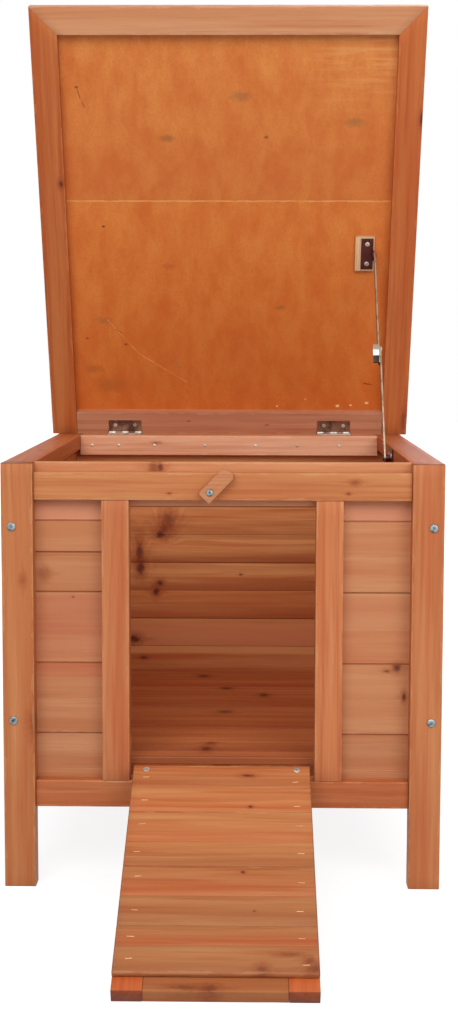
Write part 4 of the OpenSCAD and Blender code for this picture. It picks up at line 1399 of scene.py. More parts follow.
class Lean(Enum):
    """Ways a head looks: the axis and side of its solid's box, and its turn from +Z."""

    UP = (2, 1, (0.0, 0.0, 0.0))
    DOWN = (2, 0, (math.pi, 0.0, 0.0))
    FORWARD = (1, 0, (math.pi / 2, 0.0, 0.0))
    BACKWARD = (1, 1, (-math.pi / 2, 0.0, 0.0))
    LEFTWARD = (0, 0, (0.0, -math.pi / 2, 0.0))

    def seat(self, box: Box, sunk: float) -> Seat:
        """Gives a head's seat.

        Args:
            box: The corners of the fastener's solid.
            sunk: How far the seat lies inside the box.

        Returns:
            The seat's place and turn.
        """
        axis, side, turn = self.value
        at = (box[0] + box[1]) / 2
        at[axis] = box[side][axis] + (-sunk if side else sunk)
        return at, turn


@dataclass(frozen=True)
class Fastener:
    """A screw or nail, whose seat is at the origin and whose head looks to +Z."""

    STEPS = 28
    SHANK_GAP = 0.05 * MM
    TAPER_FROM = 0.85
    POINT = 0.25
    RECESS_WIDTH = 0.52
    RECESS_DEPTH = 0.9
    RECESS_TAPER = 0.55

    style: HeadStyle
    radius: float
    height: float
    shank: float
    length: float
    sunk: float = 0.0
    recess: float = 0.0

    def profile(self) -> list[Point]:
        """Gives the fastener's outline.

        Returns:
            Radius and height of each step from the head's top to the shank's point.
        """
        points = [(self.radius * out, self.height * up) for out, up in self.style.value]
        if self.style is HeadStyle.FLAT:
            points.append((self.shank, -self.height))
        return points + [
            (self.shank, points[-1][1] - self.SHANK_GAP),
            (self.shank, -self.length * self.TAPER_FROM),
            (self.shank * self.POINT, -self.length),
            (0.0, -self.length),
        ]

    def build(self, name: str) -> Piece:
        """Builds one fastener.

        Args:
            name: Its name.

        Returns:
            An object with the fastener's mesh.
        """
        work = bmesh.new()
        previous: list[bmesh.types.BMVert] = []
        for out, up in self.profile():
            angles = [math.tau * step / self.STEPS for step in range(self.STEPS if out else 1)]
            ring = [work.verts.new((out * math.cos(angle), out * math.sin(angle), up)) for angle in angles]
            for step in range(self.STEPS if previous else 0):
                follow = (step + 1) % self.STEPS
                loop = [previous[step % len(previous)], ring[step % len(ring)]]
                loop += [ring[follow % len(ring)], previous[follow % len(previous)]]
                work.faces.new(list(dict.fromkeys(loop)))
            previous = ring
        bmesh.ops.recalc_face_normals(work, faces=work.faces)
        one = linked(name, meshed(name, work))
        if self.recess:
            self.cut_cross(one)
        return one

    def cut_cross(self, one: Piece) -> None:
        """Cuts a tapered cross recess into the head.

        Args:
            one: The fastener's object, whose mesh is replaced.
        """
        work = bmesh.new()
        top = 0.0 if self.style is HeadStyle.FLAT else self.height
        for turn in (0.0, 90.0):
            made = bmesh.ops.create_cube(work, size=1.0)["verts"]
            for vertex in made:
                above = vertex.co.z > 0
                taper = 1.0 if above else self.RECESS_TAPER
                x = vertex.co.x * self.recess * 2 * taper
                y = vertex.co.y * self.recess * self.RECESS_WIDTH * taper
                z = top + 0.3 * MM if above else top - self.recess * self.RECESS_DEPTH
                vertex.co = Vector((x, y, z))
            matrix = Matrix.Rotation(math.radians(turn), 3, "Z")
            bmesh.ops.rotate(work, verts=made, matrix=matrix, cent=(0, 0, 0))
        cross = linked("cross", meshed("cross", work, smooth=False))
        cut = one.modifiers.new("recess", "BOOLEAN")
        cut.operation = "DIFFERENCE"
        cut.solver = "EXACT"
        cut.use_self = True
        cut.object = cross
        one.data = bpy.data.meshes.new_from_object(one.evaluated_get(bpy.context.evaluated_depsgraph_get()))
        one.modifiers.clear()
        bpy.data.objects.remove(cross)


CORNER_SCREW = Fastener(HeadStyle.PAN, 4.9 * MM, 2.3 * MM, 2.2 * MM, 12 * MM, sunk=2.3 * MM, recess=1.9 * MM)
BUTTON_SCREW = Fastener(HeadStyle.PAN, 4.0 * MM, 2.4 * MM, 2.2 * MM, 18 * MM, sunk=2.4 * MM, recess=1.7 * MM)
RAMP_SCREW = Fastener(HeadStyle.PAN, 4.0 * MM, 1.2 * MM, 1.5 * MM, 8 * MM, sunk=1.2 * MM, recess=1.5 * MM)
BRACKET_SCREW = Fastener(HeadStyle.PAN, 3.4 * MM, 1.6 * MM, 1.45 * MM, 8 * MM, sunk=1.6 * MM, recess=1.2 * MM)
HINGE_SCREW = Fastener(HeadStyle.FLAT, 2.75 * MM, 1.2 * MM, 1.45 * MM, 8 * MM, recess=1.2 * MM)
REAR_NAIL = Fastener(HeadStyle.NAIL, 2.2 * MM, 0.6 * MM, 1.2 * MM, 6 * MM, sunk=0.2 * MM)
FELT_NAIL = Fastener(HeadStyle.NAIL, 4.0 * MM, 0.9 * MM, 1.2 * MM, 5 * MM)


def scatter_tree(name: str) -> tuple[Tree, dict[str, str]]:
    """Builds the Geometry Nodes tree that sets copies of an object on points.

    Args:
        name: The tree's name.

    Returns:
        The tree, and the identifiers of its inputs by name.
    """
    tree = bpy.data.node_groups.new(name, "GeometryNodeTree")
    kinds = {
        "Geometry": "Geometry", "Fastener": "Object", "Finish": "Material", "Spin": "Float", "Seed": "Int",
    }
    keys = {
        label: tree.interface.new_socket(label, in_out="INPUT", socket_type=f"NodeSocket{kind}").identifier
        for label, kind in kinds.items()
    }
    tree.interface.new_socket("Geometry", in_out="OUTPUT", socket_type="NodeSocketGeometry")
    bench = NodeBench(tree)
    given = bench.add("NodeGroupInput").outputs
    named = "GeometryNodeInputNamedAttribute"
    lean = bench.wired(named, {"Name": "lean"}, "Attribute", data_type="FLOAT_VECTOR")
    turned = bench.wired("FunctionNodeEulerToRotation", {0: lean})
    limits = {2: bench.times(given["Spin"], -1.0), 3: given["Spin"], "Seed": given["Seed"]}
    chance = bench.wired("FunctionNodeRandomValue", limits, 1, data_type="FLOAT")
    spun = bench.wired("FunctionNodeEulerToRotation", {0: bench.pack(0.0, 0.0, chance)})
    both = bench.wired("FunctionNodeRotateRotation", {0: turned, 1: spun}, rotation_space="LOCAL")
    copied = {"Object": given["Fastener"], "As Instance": True}
    one = bench.wired("GeometryNodeObjectInfo", copied, "Geometry")
    setting = {"Points": given["Geometry"], "Instance": one, "Rotation": both}
    placed = bench.wired("GeometryNodeInstanceOnPoints", setting)
    real = bench.wired("GeometryNodeRealizeInstances", {0: placed})
    dressed = bench.wired("GeometryNodeSetMaterial", {"Geometry": real, "Material": given["Finish"]})
    bench.feed(bench.add("NodeGroupOutput").inputs[0], dressed)
    return tree, keys


def scatter(name: str, one: Piece, seats: list[Seat], finish: Material, spin: float, seed: int) -> Piece:
    """Sets copies of an object on seats, as one plain mesh, and removes the object.

    Args:
        name: The new piece's name.
        one: The object to copy.
        seats: Each place and its turn as Euler angles.
        finish: The material.
        spin: Largest turn of a copy about its own axis, in degrees.
        seed: Start of the random turns.

    Returns:
        The new object.
    """
    points = bpy.data.meshes.new(name)
    points.from_pydata([tuple(seat) for seat, _ in seats], [], [])
    attribute = points.attributes.new("lean", "FLOAT_VECTOR", "POINT")
    attribute.data.foreach_set("vector", [value for _, lean in seats for value in lean])
    piece = linked(name, points)
    tree, keys = scatter_tree(f"{name}_setting")
    modifier = piece.modifiers.new("setting", "NODES")
    modifier.node_group = tree
    values = {"Fastener": one, "Finish": finish, "Spin": math.radians(spin), "Seed": seed}
    for label, value in values.items():
        modifier[keys[label]] = value
    bpy.context.view_layer.update()
    graph = bpy.context.evaluated_depsgraph_get()
    piece.data = bpy.data.meshes.new_from_object(piece.evaluated_get(graph))
    piece.modifiers.clear()
    bpy.data.objects.remove(one)
    return piece


Choice = Callable[[Vector], tuple[Fastener, Lean]]


MIDDLE_DEPTH = 0.1
LID_HINGE_DEPTH = 0.37
RAMP_HINGE_HEIGHT = 0.2
LID_HINGE_REACH = -0.1
RAMP_HINGE_REACH = 11 * MM


def corner_screw(at: Vector) -> tuple[Fastener, Lean]:
    """Tells the front corner screws from the rear ones."""
    return CORNER_SCREW, Lean.FORWARD if at.y < MIDDLE_DEPTH else Lean.BACKWARD


def cabin_screw(at: Vector) -> tuple[Fastener, Lean]:
    """Tells the screws of the lid's hinges, the ramp's hinges and the stay's bracket from each other."""
    if at.y > LID_HINGE_DEPTH:
        return HINGE_SCREW, Lean.UP
    if at.z < RAMP_HINGE_HEIGHT:
        return HINGE_SCREW, Lean.FORWARD
    return BRACKET_SCREW, Lean.LEFTWARD


def lid_screw(at: Vector) -> tuple[Fastener, Lean]:
    """Tells the screws of the lid's hinges from those of the stay's bracket."""
    return HINGE_SCREW if at.y > LID_HINGE_REACH else BRACKET_SCREW, Lean.DOWN


def ramp_screw(at: Vector) -> tuple[Fastener, Lean]:
    """Tells the screws of the ramp's hinges from the two pan screws beside them."""
    if at.y < RAMP_HINGE_REACH:
        return HINGE_SCREW, Lean.FORWARD
    return RAMP_SCREW, Lean.BACKWARD


def facing_front(fastener: Fastener) -> Choice:
    """Gives the choice of one fastener that always looks to the front."""
    return lambda at: (fastener, Lean.FORWARD)


@dataclass
class Felt:
    """The roofing sheet with its slight ripples and its nails along the edges."""

    COLUMNS = 48
    ROWS = 56
    SAG = 0.45 * MM
    FRAY = 0.5 * MM
    NAIL_INSET = 9 * MM
    NAIL_GAP = 74 * MM
    NAIL_SUNK = 0.3 * MM

    low: Vector
    high: Vector

    def sheet(self) -> WorkMesh:
        """Builds the sheet.

        Returns:
            A closed work mesh in the lid's frame.
        """
        work = bmesh.new()
        columns = range(self.COLUMNS + 1)
        grid = [[self.pair(work, row, column) for column in columns] for row in range(self.ROWS + 1)]
        for first, second in zip(grid, grid[1:]):
            for column in range(self.COLUMNS):
                a, b, c, d = first[column], first[column + 1], second[column + 1], second[column]
                work.faces.new((a[0], b[0], c[0], d[0]))
                work.faces.new((d[1], c[1], b[1], a[1]))
        rim = grid[0][:-1] + [row[-1] for row in grid[:-1]]
        rim += grid[-1][:0:-1] + [row[0] for row in grid[:0:-1]]
        for first, second in zip(rim, rim[1:] + rim[:1]):
            work.faces.new((first[0], first[1], second[1], second[0]))
        return work

    def pair(self, work: WorkMesh, row: int, column: int) -> tuple[bmesh.types.BMVert, ...]:
        """Adds the sheet's upper and lower point at one place.

        Args:
            work: The work mesh.
            row: The place along the lid.
            column: The place across the lid.

        Returns:
            Both points.
        """
        x = self.low.x + (self.high.x - self.low.x) * column / self.COLUMNS
        y = self.low.y + (self.high.y - self.low.y) * row / self.ROWS
        z = self.high.z - self.SAG * lump(x * 7, y * 5, 3.1)
        if row in (0, self.ROWS):
            y += math.copysign(self.FRAY * lump(x * 30, 0, 8), 0.5 - row)
        if column in (0, self.COLUMNS):
            x += math.copysign(self.FRAY * lump(0, y * 30, 8), 0.5 - column)
        return work.verts.new((x, y, z)), work.verts.new((x, y, self.low.z))

    def nail_seats(self) -> list[Seat]:
        """Gives the seats of the nails along all four edges.

        Returns:
            Each nail's place and turn.
        """
        z = self.high.z - self.NAIL_SUNK
        left, right = self.low.x + self.NAIL_INSET, self.high.x - self.NAIL_INSET
        front, rear = self.low.y + self.NAIL_INSET, self.high.y - self.NAIL_INSET
        places = [(x, y, z) for y in (front, rear) for x in self.spaced(left, right)]
        places += [(x, y, z) for x in (left, right) for y in self.spaced(front, rear)[1:-1]]
        return [(Vector(place), Lean.UP.value[2]) for place in places]

    def spaced(self, first: float, last: float) -> list[float]:
        """Gives the nails' places along one edge, evenly spaced."""
        count = round((last - first) / self.NAIL_GAP)
        return [first + (last - first) * step / count for step in range(count + 1)]


@dataclass
class Staple:
    """A staple of round wire, whose crown is bent down at both ends."""

    SIDES = 8

    half: float = 5.0 * MM
    wire: float = 0.55 * MM

    def work(self) -> WorkMesh:
        """Builds the staple with its crown along X and just under the origin.

        Returns:
            A closed work mesh.
        """
        leg = self.half - self.wire
        bend = [
            (leg, -8 * MM), (leg, -1.4 * MM),
            (self.half - 1.3 * MM, -0.62 * MM), (self.half - 2 * MM, -0.5 * MM),
        ]
        path = [(-x, z) for x, z in bend] + bend[::-1]
        work = bmesh.new()
        rings = []
        for (x, z), before, after in zip(path, path[:1] + path[:-1], path[1:] + path[-1:]):
            run = Vector((after[0] - before[0], 0, after[1] - before[1])).normalized()
            side = Vector((-run.z, 0, run.x))
            ring = []
            for step in range(self.SIDES):
                angle = math.tau * step / self.SIDES
                out = Vector((0, self.wire * math.sin(angle), 0))
                ring.append(work.verts.new(Vector((x, 0, z)) + side * self.wire * math.cos(angle) + out))
            rings.append(ring)
        Planer.skin(work, rings)
        return work


class CatHouse:
    """The whole object: builds each sub-assembly's pieces and hangs them on their bodies."""

    BEADS = (0.1215, 0.406, 0.666, 0.8845)
    REAR_WALL_START = 0.138
    FLOOR_PITCH = 0.107
    FRONT_COURSES = 4
    FACED = ("front_top_board", "front_bottom_board", "front_left_boards", "front_right_boards")
    BEAD_DEPTH = 0.8 * MM
    FILLED_DEPTH = 0.22 * MM
    DEPTH_SLACK = 0.05 * MM
    TAB_REACH = 6.6 * MM
    ARM_EASING = 0.35 * MM
    BLOCK_EASING = 0.6 * MM
    BUTTON_EASING = 1.1 * MM
    BEVEL_FROM = math.radians(38)
    HEAD_SPIN = 72.0
    HEAD_SEED = 17
    STAPLE_SPIN = 7.0
    STAPLE_SEED = 3

    def __init__(self, workshop: Workshop) -> None:
        """Prepares the finishes.

        Args:
            workshop: The places of the sub-assemblies.
        """
        self.workshop = workshop
        effects = Effects()
        self.woods = WoodFinisher(effects, workshop)
        self.plies = PlyFinisher(self.woods)
        self.metals = MetalFinisher(effects)
        self.planer = Planer()

    @staticmethod
    def hang(piece: Piece, body: str, slot: str, *nodes: str) -> None:
        """Says which body a piece rides on, and hides the CAD nodes it stands for.

        Args:
            piece: The piece.
            body: The body's name.
            slot: The material slot; not used.
            nodes: The CAD nodes that it replaces.
        """
        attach(piece, body)
        if nodes:
            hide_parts(*nodes)
        log.info("%s: %d faces on %s", piece.name, len(piece.data.polygons), body)

    def dress(self, material: Material, *nodes: str) -> None:
        """Gives CAD nodes that stay a better material.

        Args:
            material: The finish.
            nodes: The CAD nodes.
        """
        for node in nodes:
            shown = self.workshop.nodes[node]
            shown.data.materials.clear()
            shown.data.materials.append(material)
            log.info("%s: CAD node with %s", node, material.name)

    def timber(self, timber: Timber) -> None:
        """Builds or dresses one timber.

        Args:
            timber: The timber's data.
        """
        material = self.woods.material(timber)
        if timber.swept:
            low, high = self.workshop.corners(timber.node, timber.part)
            work = self.planer.sweep(low, high, timber.cut, timber.seed, timber.mitre)
            piece = shaped(f"{timber.node}_planed", work, self.workshop.place[timber.part], material)
            self.hang(piece, timber.part.value, timber.wood.slot, timber.node)
        elif timber.node in self.FACED:
            self.faced(timber, material)
        else:
            self.dress(material, timber.node)

    def faced(self, timber: Timber, material: Material) -> None:
        """Builds a set of front boards, whose stain has nearly filled the centre beads.

        Args:
            timber: The boards' data.
            material: Their finish.
        """
        work = self.workshop.merged(timber.node)
        front = min(vertex.co.y for vertex in work.verts)
        for vertex in work.verts:
            if abs(vertex.co.y - front - self.BEAD_DEPTH) < self.DEPTH_SLACK:
                vertex.co.y = front + self.FILLED_DEPTH
        piece = shaped(f"{timber.node}_faced", work, Matrix.Identity(4), material, smooth=False)
        self.hang(piece, "cabin", timber.wood.slot, timber.node)

    def eased(self, node: str, body: str, slot: str, width: float, material: Material) -> None:
        """Replaces a CAD node by its own shape with eased edges.

        Args:
            node: The CAD node's name.
            body: The body it rides on.
            slot: Its material slot.
            width: Width of the eased edge.
            material: Its finish.
        """
        work = self.workshop.merged(node)
        bmesh.ops.dissolve_limit(work, angle_limit=math.radians(1), verts=work.verts, edges=work.edges)
        inner = [edge for edge in work.edges if len(edge.link_faces) == 2]
        sharp = [edge for edge in inner if edge.calc_face_angle(0.0) > self.BEVEL_FROM]
        rounding = {"offset": width, "segments": 2, "profile": 0.6}
        bmesh.ops.bevel(work, geom=sharp, affect="EDGES", clamp_overlap=True, **rounding)
        piece = shaped(f"{node}_eased", work, Matrix.Identity(4), material)
        self.hang(piece, body, slot, node)

    def cabin(self) -> None:
        """Builds the cabin's timbers, boards and metal."""
        for timber in (*self.frame_timbers(), *self.floor_timbers(), *self.wall_boards()):
            self.timber(timber)
        ledge = ("lid_hinge_fixed_leaves", "ramp_hinge_fixed_leaves", "hinge_pins")
        self.dress(self.metals.plated(LEDGE_ZINC), *ledge)
        # The bracket's brown is a painted reflection.
        self.dress(self.metals.plated(PAINTED_REFLECTION_PLATE), "stay_wall_bracket")

    @staticmethod
    def frame_timbers() -> list[Timber]:
        """Lists the cabin's posts, uprights, rails and stiles."""
        left_tone, right_tone = FRAME_PINE.toned(0.94, 0.94, 0.92), FRAME_PINE.toned(0.94, 0.91, 0.89)
        return [
            Timber(
                "front_left_post", Cut.Z_WIDE_X, left_tone, 3,
                knots((0.191, -0.213, 0.007, 0.014, 0.35), (0.357, -0.226, 0.003, 0.006, 0.15)),
                bands((-0.232, -0.2142, (172, 96, 54), 0.35)),
            ),
            Timber(
                "front_right_post", Cut.Z_WIDE_X, right_tone, 5,
                bands=bands((0.226, 0.234, (184, 88, 50), 0.5), (0.24, 0.25, (176, 92, 54), 0.4)),
            ),
            Timber("rear_left_post", Cut.Z_WIDE_X, RED_PINE, 7, knots((0.33, -0.228, 0.004, 0.007))),
            Timber("rear_right_post", Cut.Z_WIDE_X, FRAME_PINE, 9, knots((0.21, 0.226, 0.0036, 0.006))),
            Timber("left_front_upright", Cut.Z_WIDE_Y, FRAME_PINE, 11),
            Timber("left_rear_upright", Cut.Z_WIDE_Y, RED_PINE, 13, knots((0.29, 0.352, 0.0036, 0.007))),
            Timber("right_front_upright", Cut.Z_WIDE_Y, RED_PINE, 15, knots((0.18, -0.08, 0.0034, 0.006))),
            Timber("right_rear_upright", Cut.Z_WIDE_Y, FRAME_PINE, 17),
            Timber(
                "front_top_rail", Cut.X_WIDE_Z, FRAME_PINE.toned(0.94, 0.94, 0.91), 19,
                knots(
                    (0.149, 0.469, 0.003, 0.005, 0.28), (0.142, 0.456, 0.0016, 0.0024, 0.55),
                    (-0.06, 0.456, 0.0012, 0.003, 0.6),
                ),
            ),
            Timber("front_bottom_rail", Cut.X_WIDE_Z, RED_PINE, 21),
            Timber("left_door_stile", Cut.Z_WIDE_X, FRAME_PINE.toned(0.94, 0.9, 0.9), 23),
            Timber("right_door_stile", Cut.Z_WIDE_X, FRAME_PINE.toned(0.97, 0.93, 0.92), 25),
            Timber(
                "left_cap_rail", Cut.Y_WIDE_X, RED_PINE.toned(0.96, 0.86, 0.72), 27,
                knots((0.07, -0.23, 0.003, 0.006, 0.5)),
            ),
            Timber("right_cap_rail", Cut.Y_WIDE_X, RED_PINE.toned(0.9, 0.76, 0.58), 29),
            Timber("left_bottom_rail", Cut.Y_WIDE_Z, FRAME_PINE, 31, knots((0.12, 0.108, 0.0034, 0.006))),
            Timber("right_bottom_rail", Cut.Y_WIDE_Z, RED_PINE, 33),
            Timber("rear_top_rail", Cut.X_WIDE_Z, FRAME_PINE, 35, knots((0.09, 0.474, 0.0036, 0.008))),
            Timber("rear_bottom_rail", Cut.X_WIDE_Z, FRAME_PINE, 37, knots((-0.13, 0.11, 0.0032, 0.007))),
            Timber(
                "rear_inner_rail", Cut.X_WIDE_Z, ROSY_PINE.toned(1.09, 1.12, 1.1), 39,
                knots((-0.104, 0.48, 0.0016, 0.006, 0.5)),
            ),
        ]

    def floor_timbers(self) -> list[Timber]:
        """Lists the floor's joists and boards."""
        y_front = self.workshop.corners("front_left_post", Part.CABIN)[0].y
        floor_front, floor_back = (corner.y for corner in self.workshop.corners("floor_boards", Part.CABIN))
        marks = knots(
            (-0.0345, y_front + 0.4376, 0.0085, 0.0085), (0.051, y_front + 0.3274, 0.01, 0.0065),
            (-0.0007, y_front + 0.365, 0.0062, 0.007), (-0.0007, y_front + 0.365, 0.0048, 0.005),
            (-0.0007, y_front + 0.236, 0.006, 0.009, 0.6),
            (-0.015, y_front + 0.088, 0.005, 0.006, 0.5),
            (-0.0198, y_front + 0.0643, 0.01, 0.007),
        )
        colour_bands = bands(
            (0.34, 0.256, (164, 70, 34), 0.55), (0.23, 0.149, (162, 72, 34), 0.5),
            (0.12, 0.042, (146, 60, 30), 0.5), (0.01, -0.065, (150, 78, 50), 0.5),
            # The last band is painted shade: it darkens the floor boards towards their front edge, above the
            # ramp's top.
            (floor_front + 9.0 * MM, floor_front - MM, (146, 76, 44), 0.8, 6.0 * MM),
        )
        laid = (floor_back, self.FLOOR_PITCH)
        return [
            Timber("floor_joists", Cut.Y_WIDE_Z, FLOOR_PINE, 41, swept=False),
            Timber("floor_boards", Cut.X_WIDE_Y, FLOOR_PINE, 43, marks, colour_bands, laid, swept=False),
        ]

    def wall_boards(self) -> list[Timber]:
        """Lists the sets of tongued boards on the four walls."""
        start = self.workshop.corners("front_bottom_board", Part.CABIN)[0].z
        top = self.workshop.corners("front_top_board", Part.CABIN)[0].z
        pitch = (top - start) / self.FRONT_COURSES
        walls = (start, pitch)
        boards = (
            # The slight toning and the pale band from 0.456 down to 0.38 are painted light, lifting the shade
            # that the front top rail casts on this board.
            Timber(
                "front_top_board", Cut.X_WIDE_Z, WALL_PINE.toned(1.02, 1.0, 0.98), 45,
                knots((-0.078, 0.4856, 0.011, 0.0068, 0.5), (-0.071, 0.485, 0.009, 0.0034, 0.7)),
                bands((0.456, 0.38, (206, 138, 108), 0.7, 0.002)), walls,
            ),
            Timber(
                "front_bottom_board", Cut.X_WIDE_Z, WALL_PINE.toned(0.95, 0.93, 0.92), 47, boards=walls,
            ),
            Timber(
                "front_left_boards", Cut.X_WIDE_Z, WALL_PINE.toned(0.95, 0.92, 0.9), 50,
                knots((-0.1712, 0.3345, 0.001, 0.0012, 0.5), (-0.204, 0.361, 0.006, 0.006, 0.12)),
                bands(
                    (0.4235, 0.3885, (192, 128, 86), 0.55, 0.004),
                    (0.388, 0.3865, (92, 42, 26), 0.85, 0.0007),
                    (0.385, 0.344, (182, 118, 78), 0.55, 0.004),
                    (0.34, 0.264, (186, 108, 78), 0.5, 0.004),
                    (0.324, 0.308, (172, 92, 58), 0.4, 0.006),
                    (0.26, 0.242, (184, 92, 62), 0.5, 0.004),
                ),
                walls,
            ),
            Timber(
                "front_right_boards", Cut.X_WIDE_Z, WALL_PINE.toned(0.98, 0.97, 0.96), 54,
                knots(
                    (0.2005, 0.2538, 0.0052, 0.0062), (0.188, 0.25, 0.0016, 0.004, 0.6),
                    (0.209, 0.22, 0.006, 0.0026, 0.8),
                ),
                bands(
                    (0.339, 0.302, (188, 116, 80), 0.45, 0.004),
                    (0.304, 0.26, (180, 96, 56), 0.55, 0.014),
                    (0.259, 0.18, (194, 132, 90), 0.45, 0.004),
                    (0.179, 0.165, (184, 94, 62), 0.5, 0.004),
                    (0.164, 0.128, (182, 108, 74), 0.5, 0.006),
                ),
                walls,
            ),
            Timber(
                "left_wall_boards", Cut.Y_WIDE_Z, INNER_PINE, 58,
                knots((0.06, 0.3, 0.0075, 0.01), (0.25, 0.21, 0.006, 0.009)), boards=walls,
            ),
            Timber(
                "right_wall_boards", Cut.Y_WIDE_Z, INNER_PINE, 62,
                knots((0.12, 0.385, 0.007, 0.01), (0.01, 0.15, 0.006, 0.008)), boards=walls,
            ),
            Timber(
                "rear_wall_boards", Cut.X_WIDE_Z, INNER_PINE.toned(1.03, 1.04, 1.0), 66,
                knots(
                    (-0.088, 0.364, 0.015, 0.01, 0.5), (-0.095, 0.352, 0.009, 0.006, 0.6),
                    (-0.1, 0.344, 0.0055, 0.0085, 0.9), (-0.13, 0.318, 0.017, 0.0062, 0.8),
                    (-0.1285, 0.295, 0.012, 0.0065, 0.85), (-0.1004, 0.2727, 0.0046, 0.007, 0.9),
                    (-0.1059, 0.2602, 0.0066, 0.0055, 0.9), (-0.1383, 0.1895, 0.007, 0.0095, 0.9),
                    (-0.1245, 0.162, 0.0024, 0.006, 0.8), (0.018, 0.286, 0.0014, 0.002),
                ),
                bands(
                    (0.376, 0.338, (152, 86, 50), 0.4), (0.33, 0.3035, (144, 70, 34), 0.7),
                    (0.29, 0.2625, (150, 70, 34), 0.5), (0.26, 0.2213, (170, 79, 40), 0.72),
                    (0.221, 0.1812, (212, 130, 90), 0.78, 0.02),
                    (0.1808, 0.1702, (222, 156, 102), 0.55, 0.004),
                    (0.1698, 0.14, (172, 70, 32), 0.62, 0.004),
                ),
                (self.REAR_WALL_START, pitch),
            ),
        )
        return [replace(timber, swept=False) for timber in boards]

    def lid(self) -> None:
        """Builds the lid's frame, panels, packing block, roofing sheet and metal."""
        rails = (
            Timber("lid_front_rail", Cut.X_WIDE_Y, PALE_PINE, 71, mitre=Mitre.BOTH_FROM_LOW),
            Timber(
                "lid_left_rail", Cut.Y_WIDE_X, RED_PINE.toned(0.96, 0.87, 0.73), 73,
                knots((-0.3702, -0.229, 0.003, 0.006)), mitre=Mitre.LOW_FROM_LOW,
            ),
            Timber(
                "lid_right_rail", Cut.Y_WIDE_X, RED_PINE.toned(0.99, 0.87, 0.73), 75,
                knots((-0.4584, 0.2585, 0.0028, 0.01), (-0.02, 0.256, 0.004, 0.014, 0.4)),
                mitre=Mitre.LOW_FROM_HIGH,
            ),
            Timber(
                "lid_rear_rail", Cut.X_WIDE_Y, ROSY_PINE.toned(0.93, 0.91, 0.88), 77,
                knots((-0.06, -0.018, 0.001, 0.002, 0.5), (0.055, -0.012, 0.001, 0.002, 0.5)),
                swept=False,
            ),
        )
        for rail in rails:
            self.timber(replace(rail, part=Part.LID))
        for node, seed, *tints in (
            ("lid_front_panel", 2.3, (218, 136, 66), (204, 113, 50), (190, 87, 33)),
            ("lid_rear_panel", 5.1, (216, 128, 58), (206, 108, 42), (194, 84, 28)),
        ):
            self.dress(self.plies.material(node, seed, *(stain(*tint) for tint in tints)), node)
        self.dress(self.metals.plated(LEAF_BROWN), "lid_hinge_moving_leaves")
        # The bracket's brown is a painted reflection.
        self.dress(self.metals.plated(PAINTED_REFLECTION_PLATE), "stay_lid_bracket")
        block = Timber("stay_packing_block", Cut.Y_WIDE_X, PALE_BLOCK, 79, part=Part.LID)
        self.eased(block.node, "lid", block.wood.slot, self.BLOCK_EASING, self.woods.material(block))
        self.felt()

    def felt(self) -> None:
        """Builds the roofing sheet and its nails along the edges."""
        place = self.workshop.place[Part.LID]
        low, high = self.workshop.corners("roof_felt", Part.LID)
        felt = Felt(low, high)
        sheet = shaped("roofing_sheet", felt.sheet(), place, self.metals.felt())
        self.hang(sheet, "lid", "roofing_felt", "roof_felt")
        self.set_heads("felt_nails", FELT_NAIL, felt.nail_seats(), Part.LID, LEDGE_ZINC)

    def ramp(self) -> None:
        """Builds the ramp's battens, boards and metal."""
        end_knots = knots((-0.03, 0.3145, 0.003, 0.015, 0.45), (-0.005, 0.315, 0.0045, 0.008, 0.5))
        for batten in (
            Timber("ramp_left_batten", Cut.Z_WIDE_X, RED_BATTEN, 81),
            Timber("ramp_right_batten", Cut.Z_WIDE_X, RED_BATTEN, 83),
            Timber("ramp_end_batten", Cut.X_WIDE_Z, WALL_PINE.toned(0.84, 0.74, 0.63), 85, end_knots),
        ):
            self.timber(replace(batten, part=Part.RAMP))
        red, brown = (186, 88, 48), (150, 84, 50)
        strips = (
            (0.0, 0.1215, brown, 0.4), (0.1215, 0.252, red, 0.4), (0.252, 0.406, red, 0.5),
            (0.406, 0.526, brown, 0.55), (0.526, 0.666, red, 0.6), (0.666, 0.8, brown, 0.7),
            (0.8, 0.8845, red, 0.45), (0.93, 1.0, brown, 0.6),
        )
        # Each board's tone differs a little from the next; the darker tones of boards 3 and 4, towards the
        # ramp's foot, are painted shade for the light falling off down the ramp.
        boards = (
            (87, (1.0, 0.98, 0.96), ((0.0299, 0.0186, 0.0028, 0.008), (0.0328, 0.07, 0.0022, 0.0026))),
            (89, (1.0, 1.03, 1.04), ()),
            (91, (0.93, 0.95, 0.96), ((0.0253, 0.169, 0.002, 0.0022), (0.037, 0.223, 0.001, 0.0014))),
            (93, (0.9, 0.91, 0.92), (
                (0.0443, 0.2986, 0.006, 0.006, 0.4), (0.095, 0.296, 0.0055, 0.008, 0.45),
                (0.07, 0.279, 0.0022, 0.012, 0.3), (0.09, 0.286, 0.004, 0.005, 0.35),
            )),
        )
        start = self.workshop.corners("ramp_board_1", Part.RAMP)[0].z
        boarded = self.workshop.corners(f"ramp_board_{len(boards)}", Part.RAMP)[1].z - start
        for number, ((seed, tone, rows), bead) in enumerate(zip(boards, self.BEADS), start=1):
            node = f"ramp_board_{number}"
            low, high = self.workshop.corners(node, Part.RAMP)
            colour_bands = bands(*(
                (start + boarded * first, start + boarded * last, tint, share)
                for first, last, tint, share in strips
                if low.z < start + boarded * (first + last) / 2 < high.z
            ))
            wood = RAMP_PINE.toned(*tone)
            timber = Timber(node, Cut.X_WIDE_Z, wood, seed, knots(*rows), colour_bands, part=Part.RAMP)
            work = RampBoards().sweep(low, high, number < len(boards), start + boarded * bead, seed)
            place = self.workshop.place[Part.RAMP]
            piece = shaped(f"{node}_planed", work, place, self.woods.material(timber))
            self.hang(piece, "ramp", "ramp_boards", node)
        self.dress(self.metals.plated(LEDGE_ZINC), "ramp_hinge_moving_leaves")

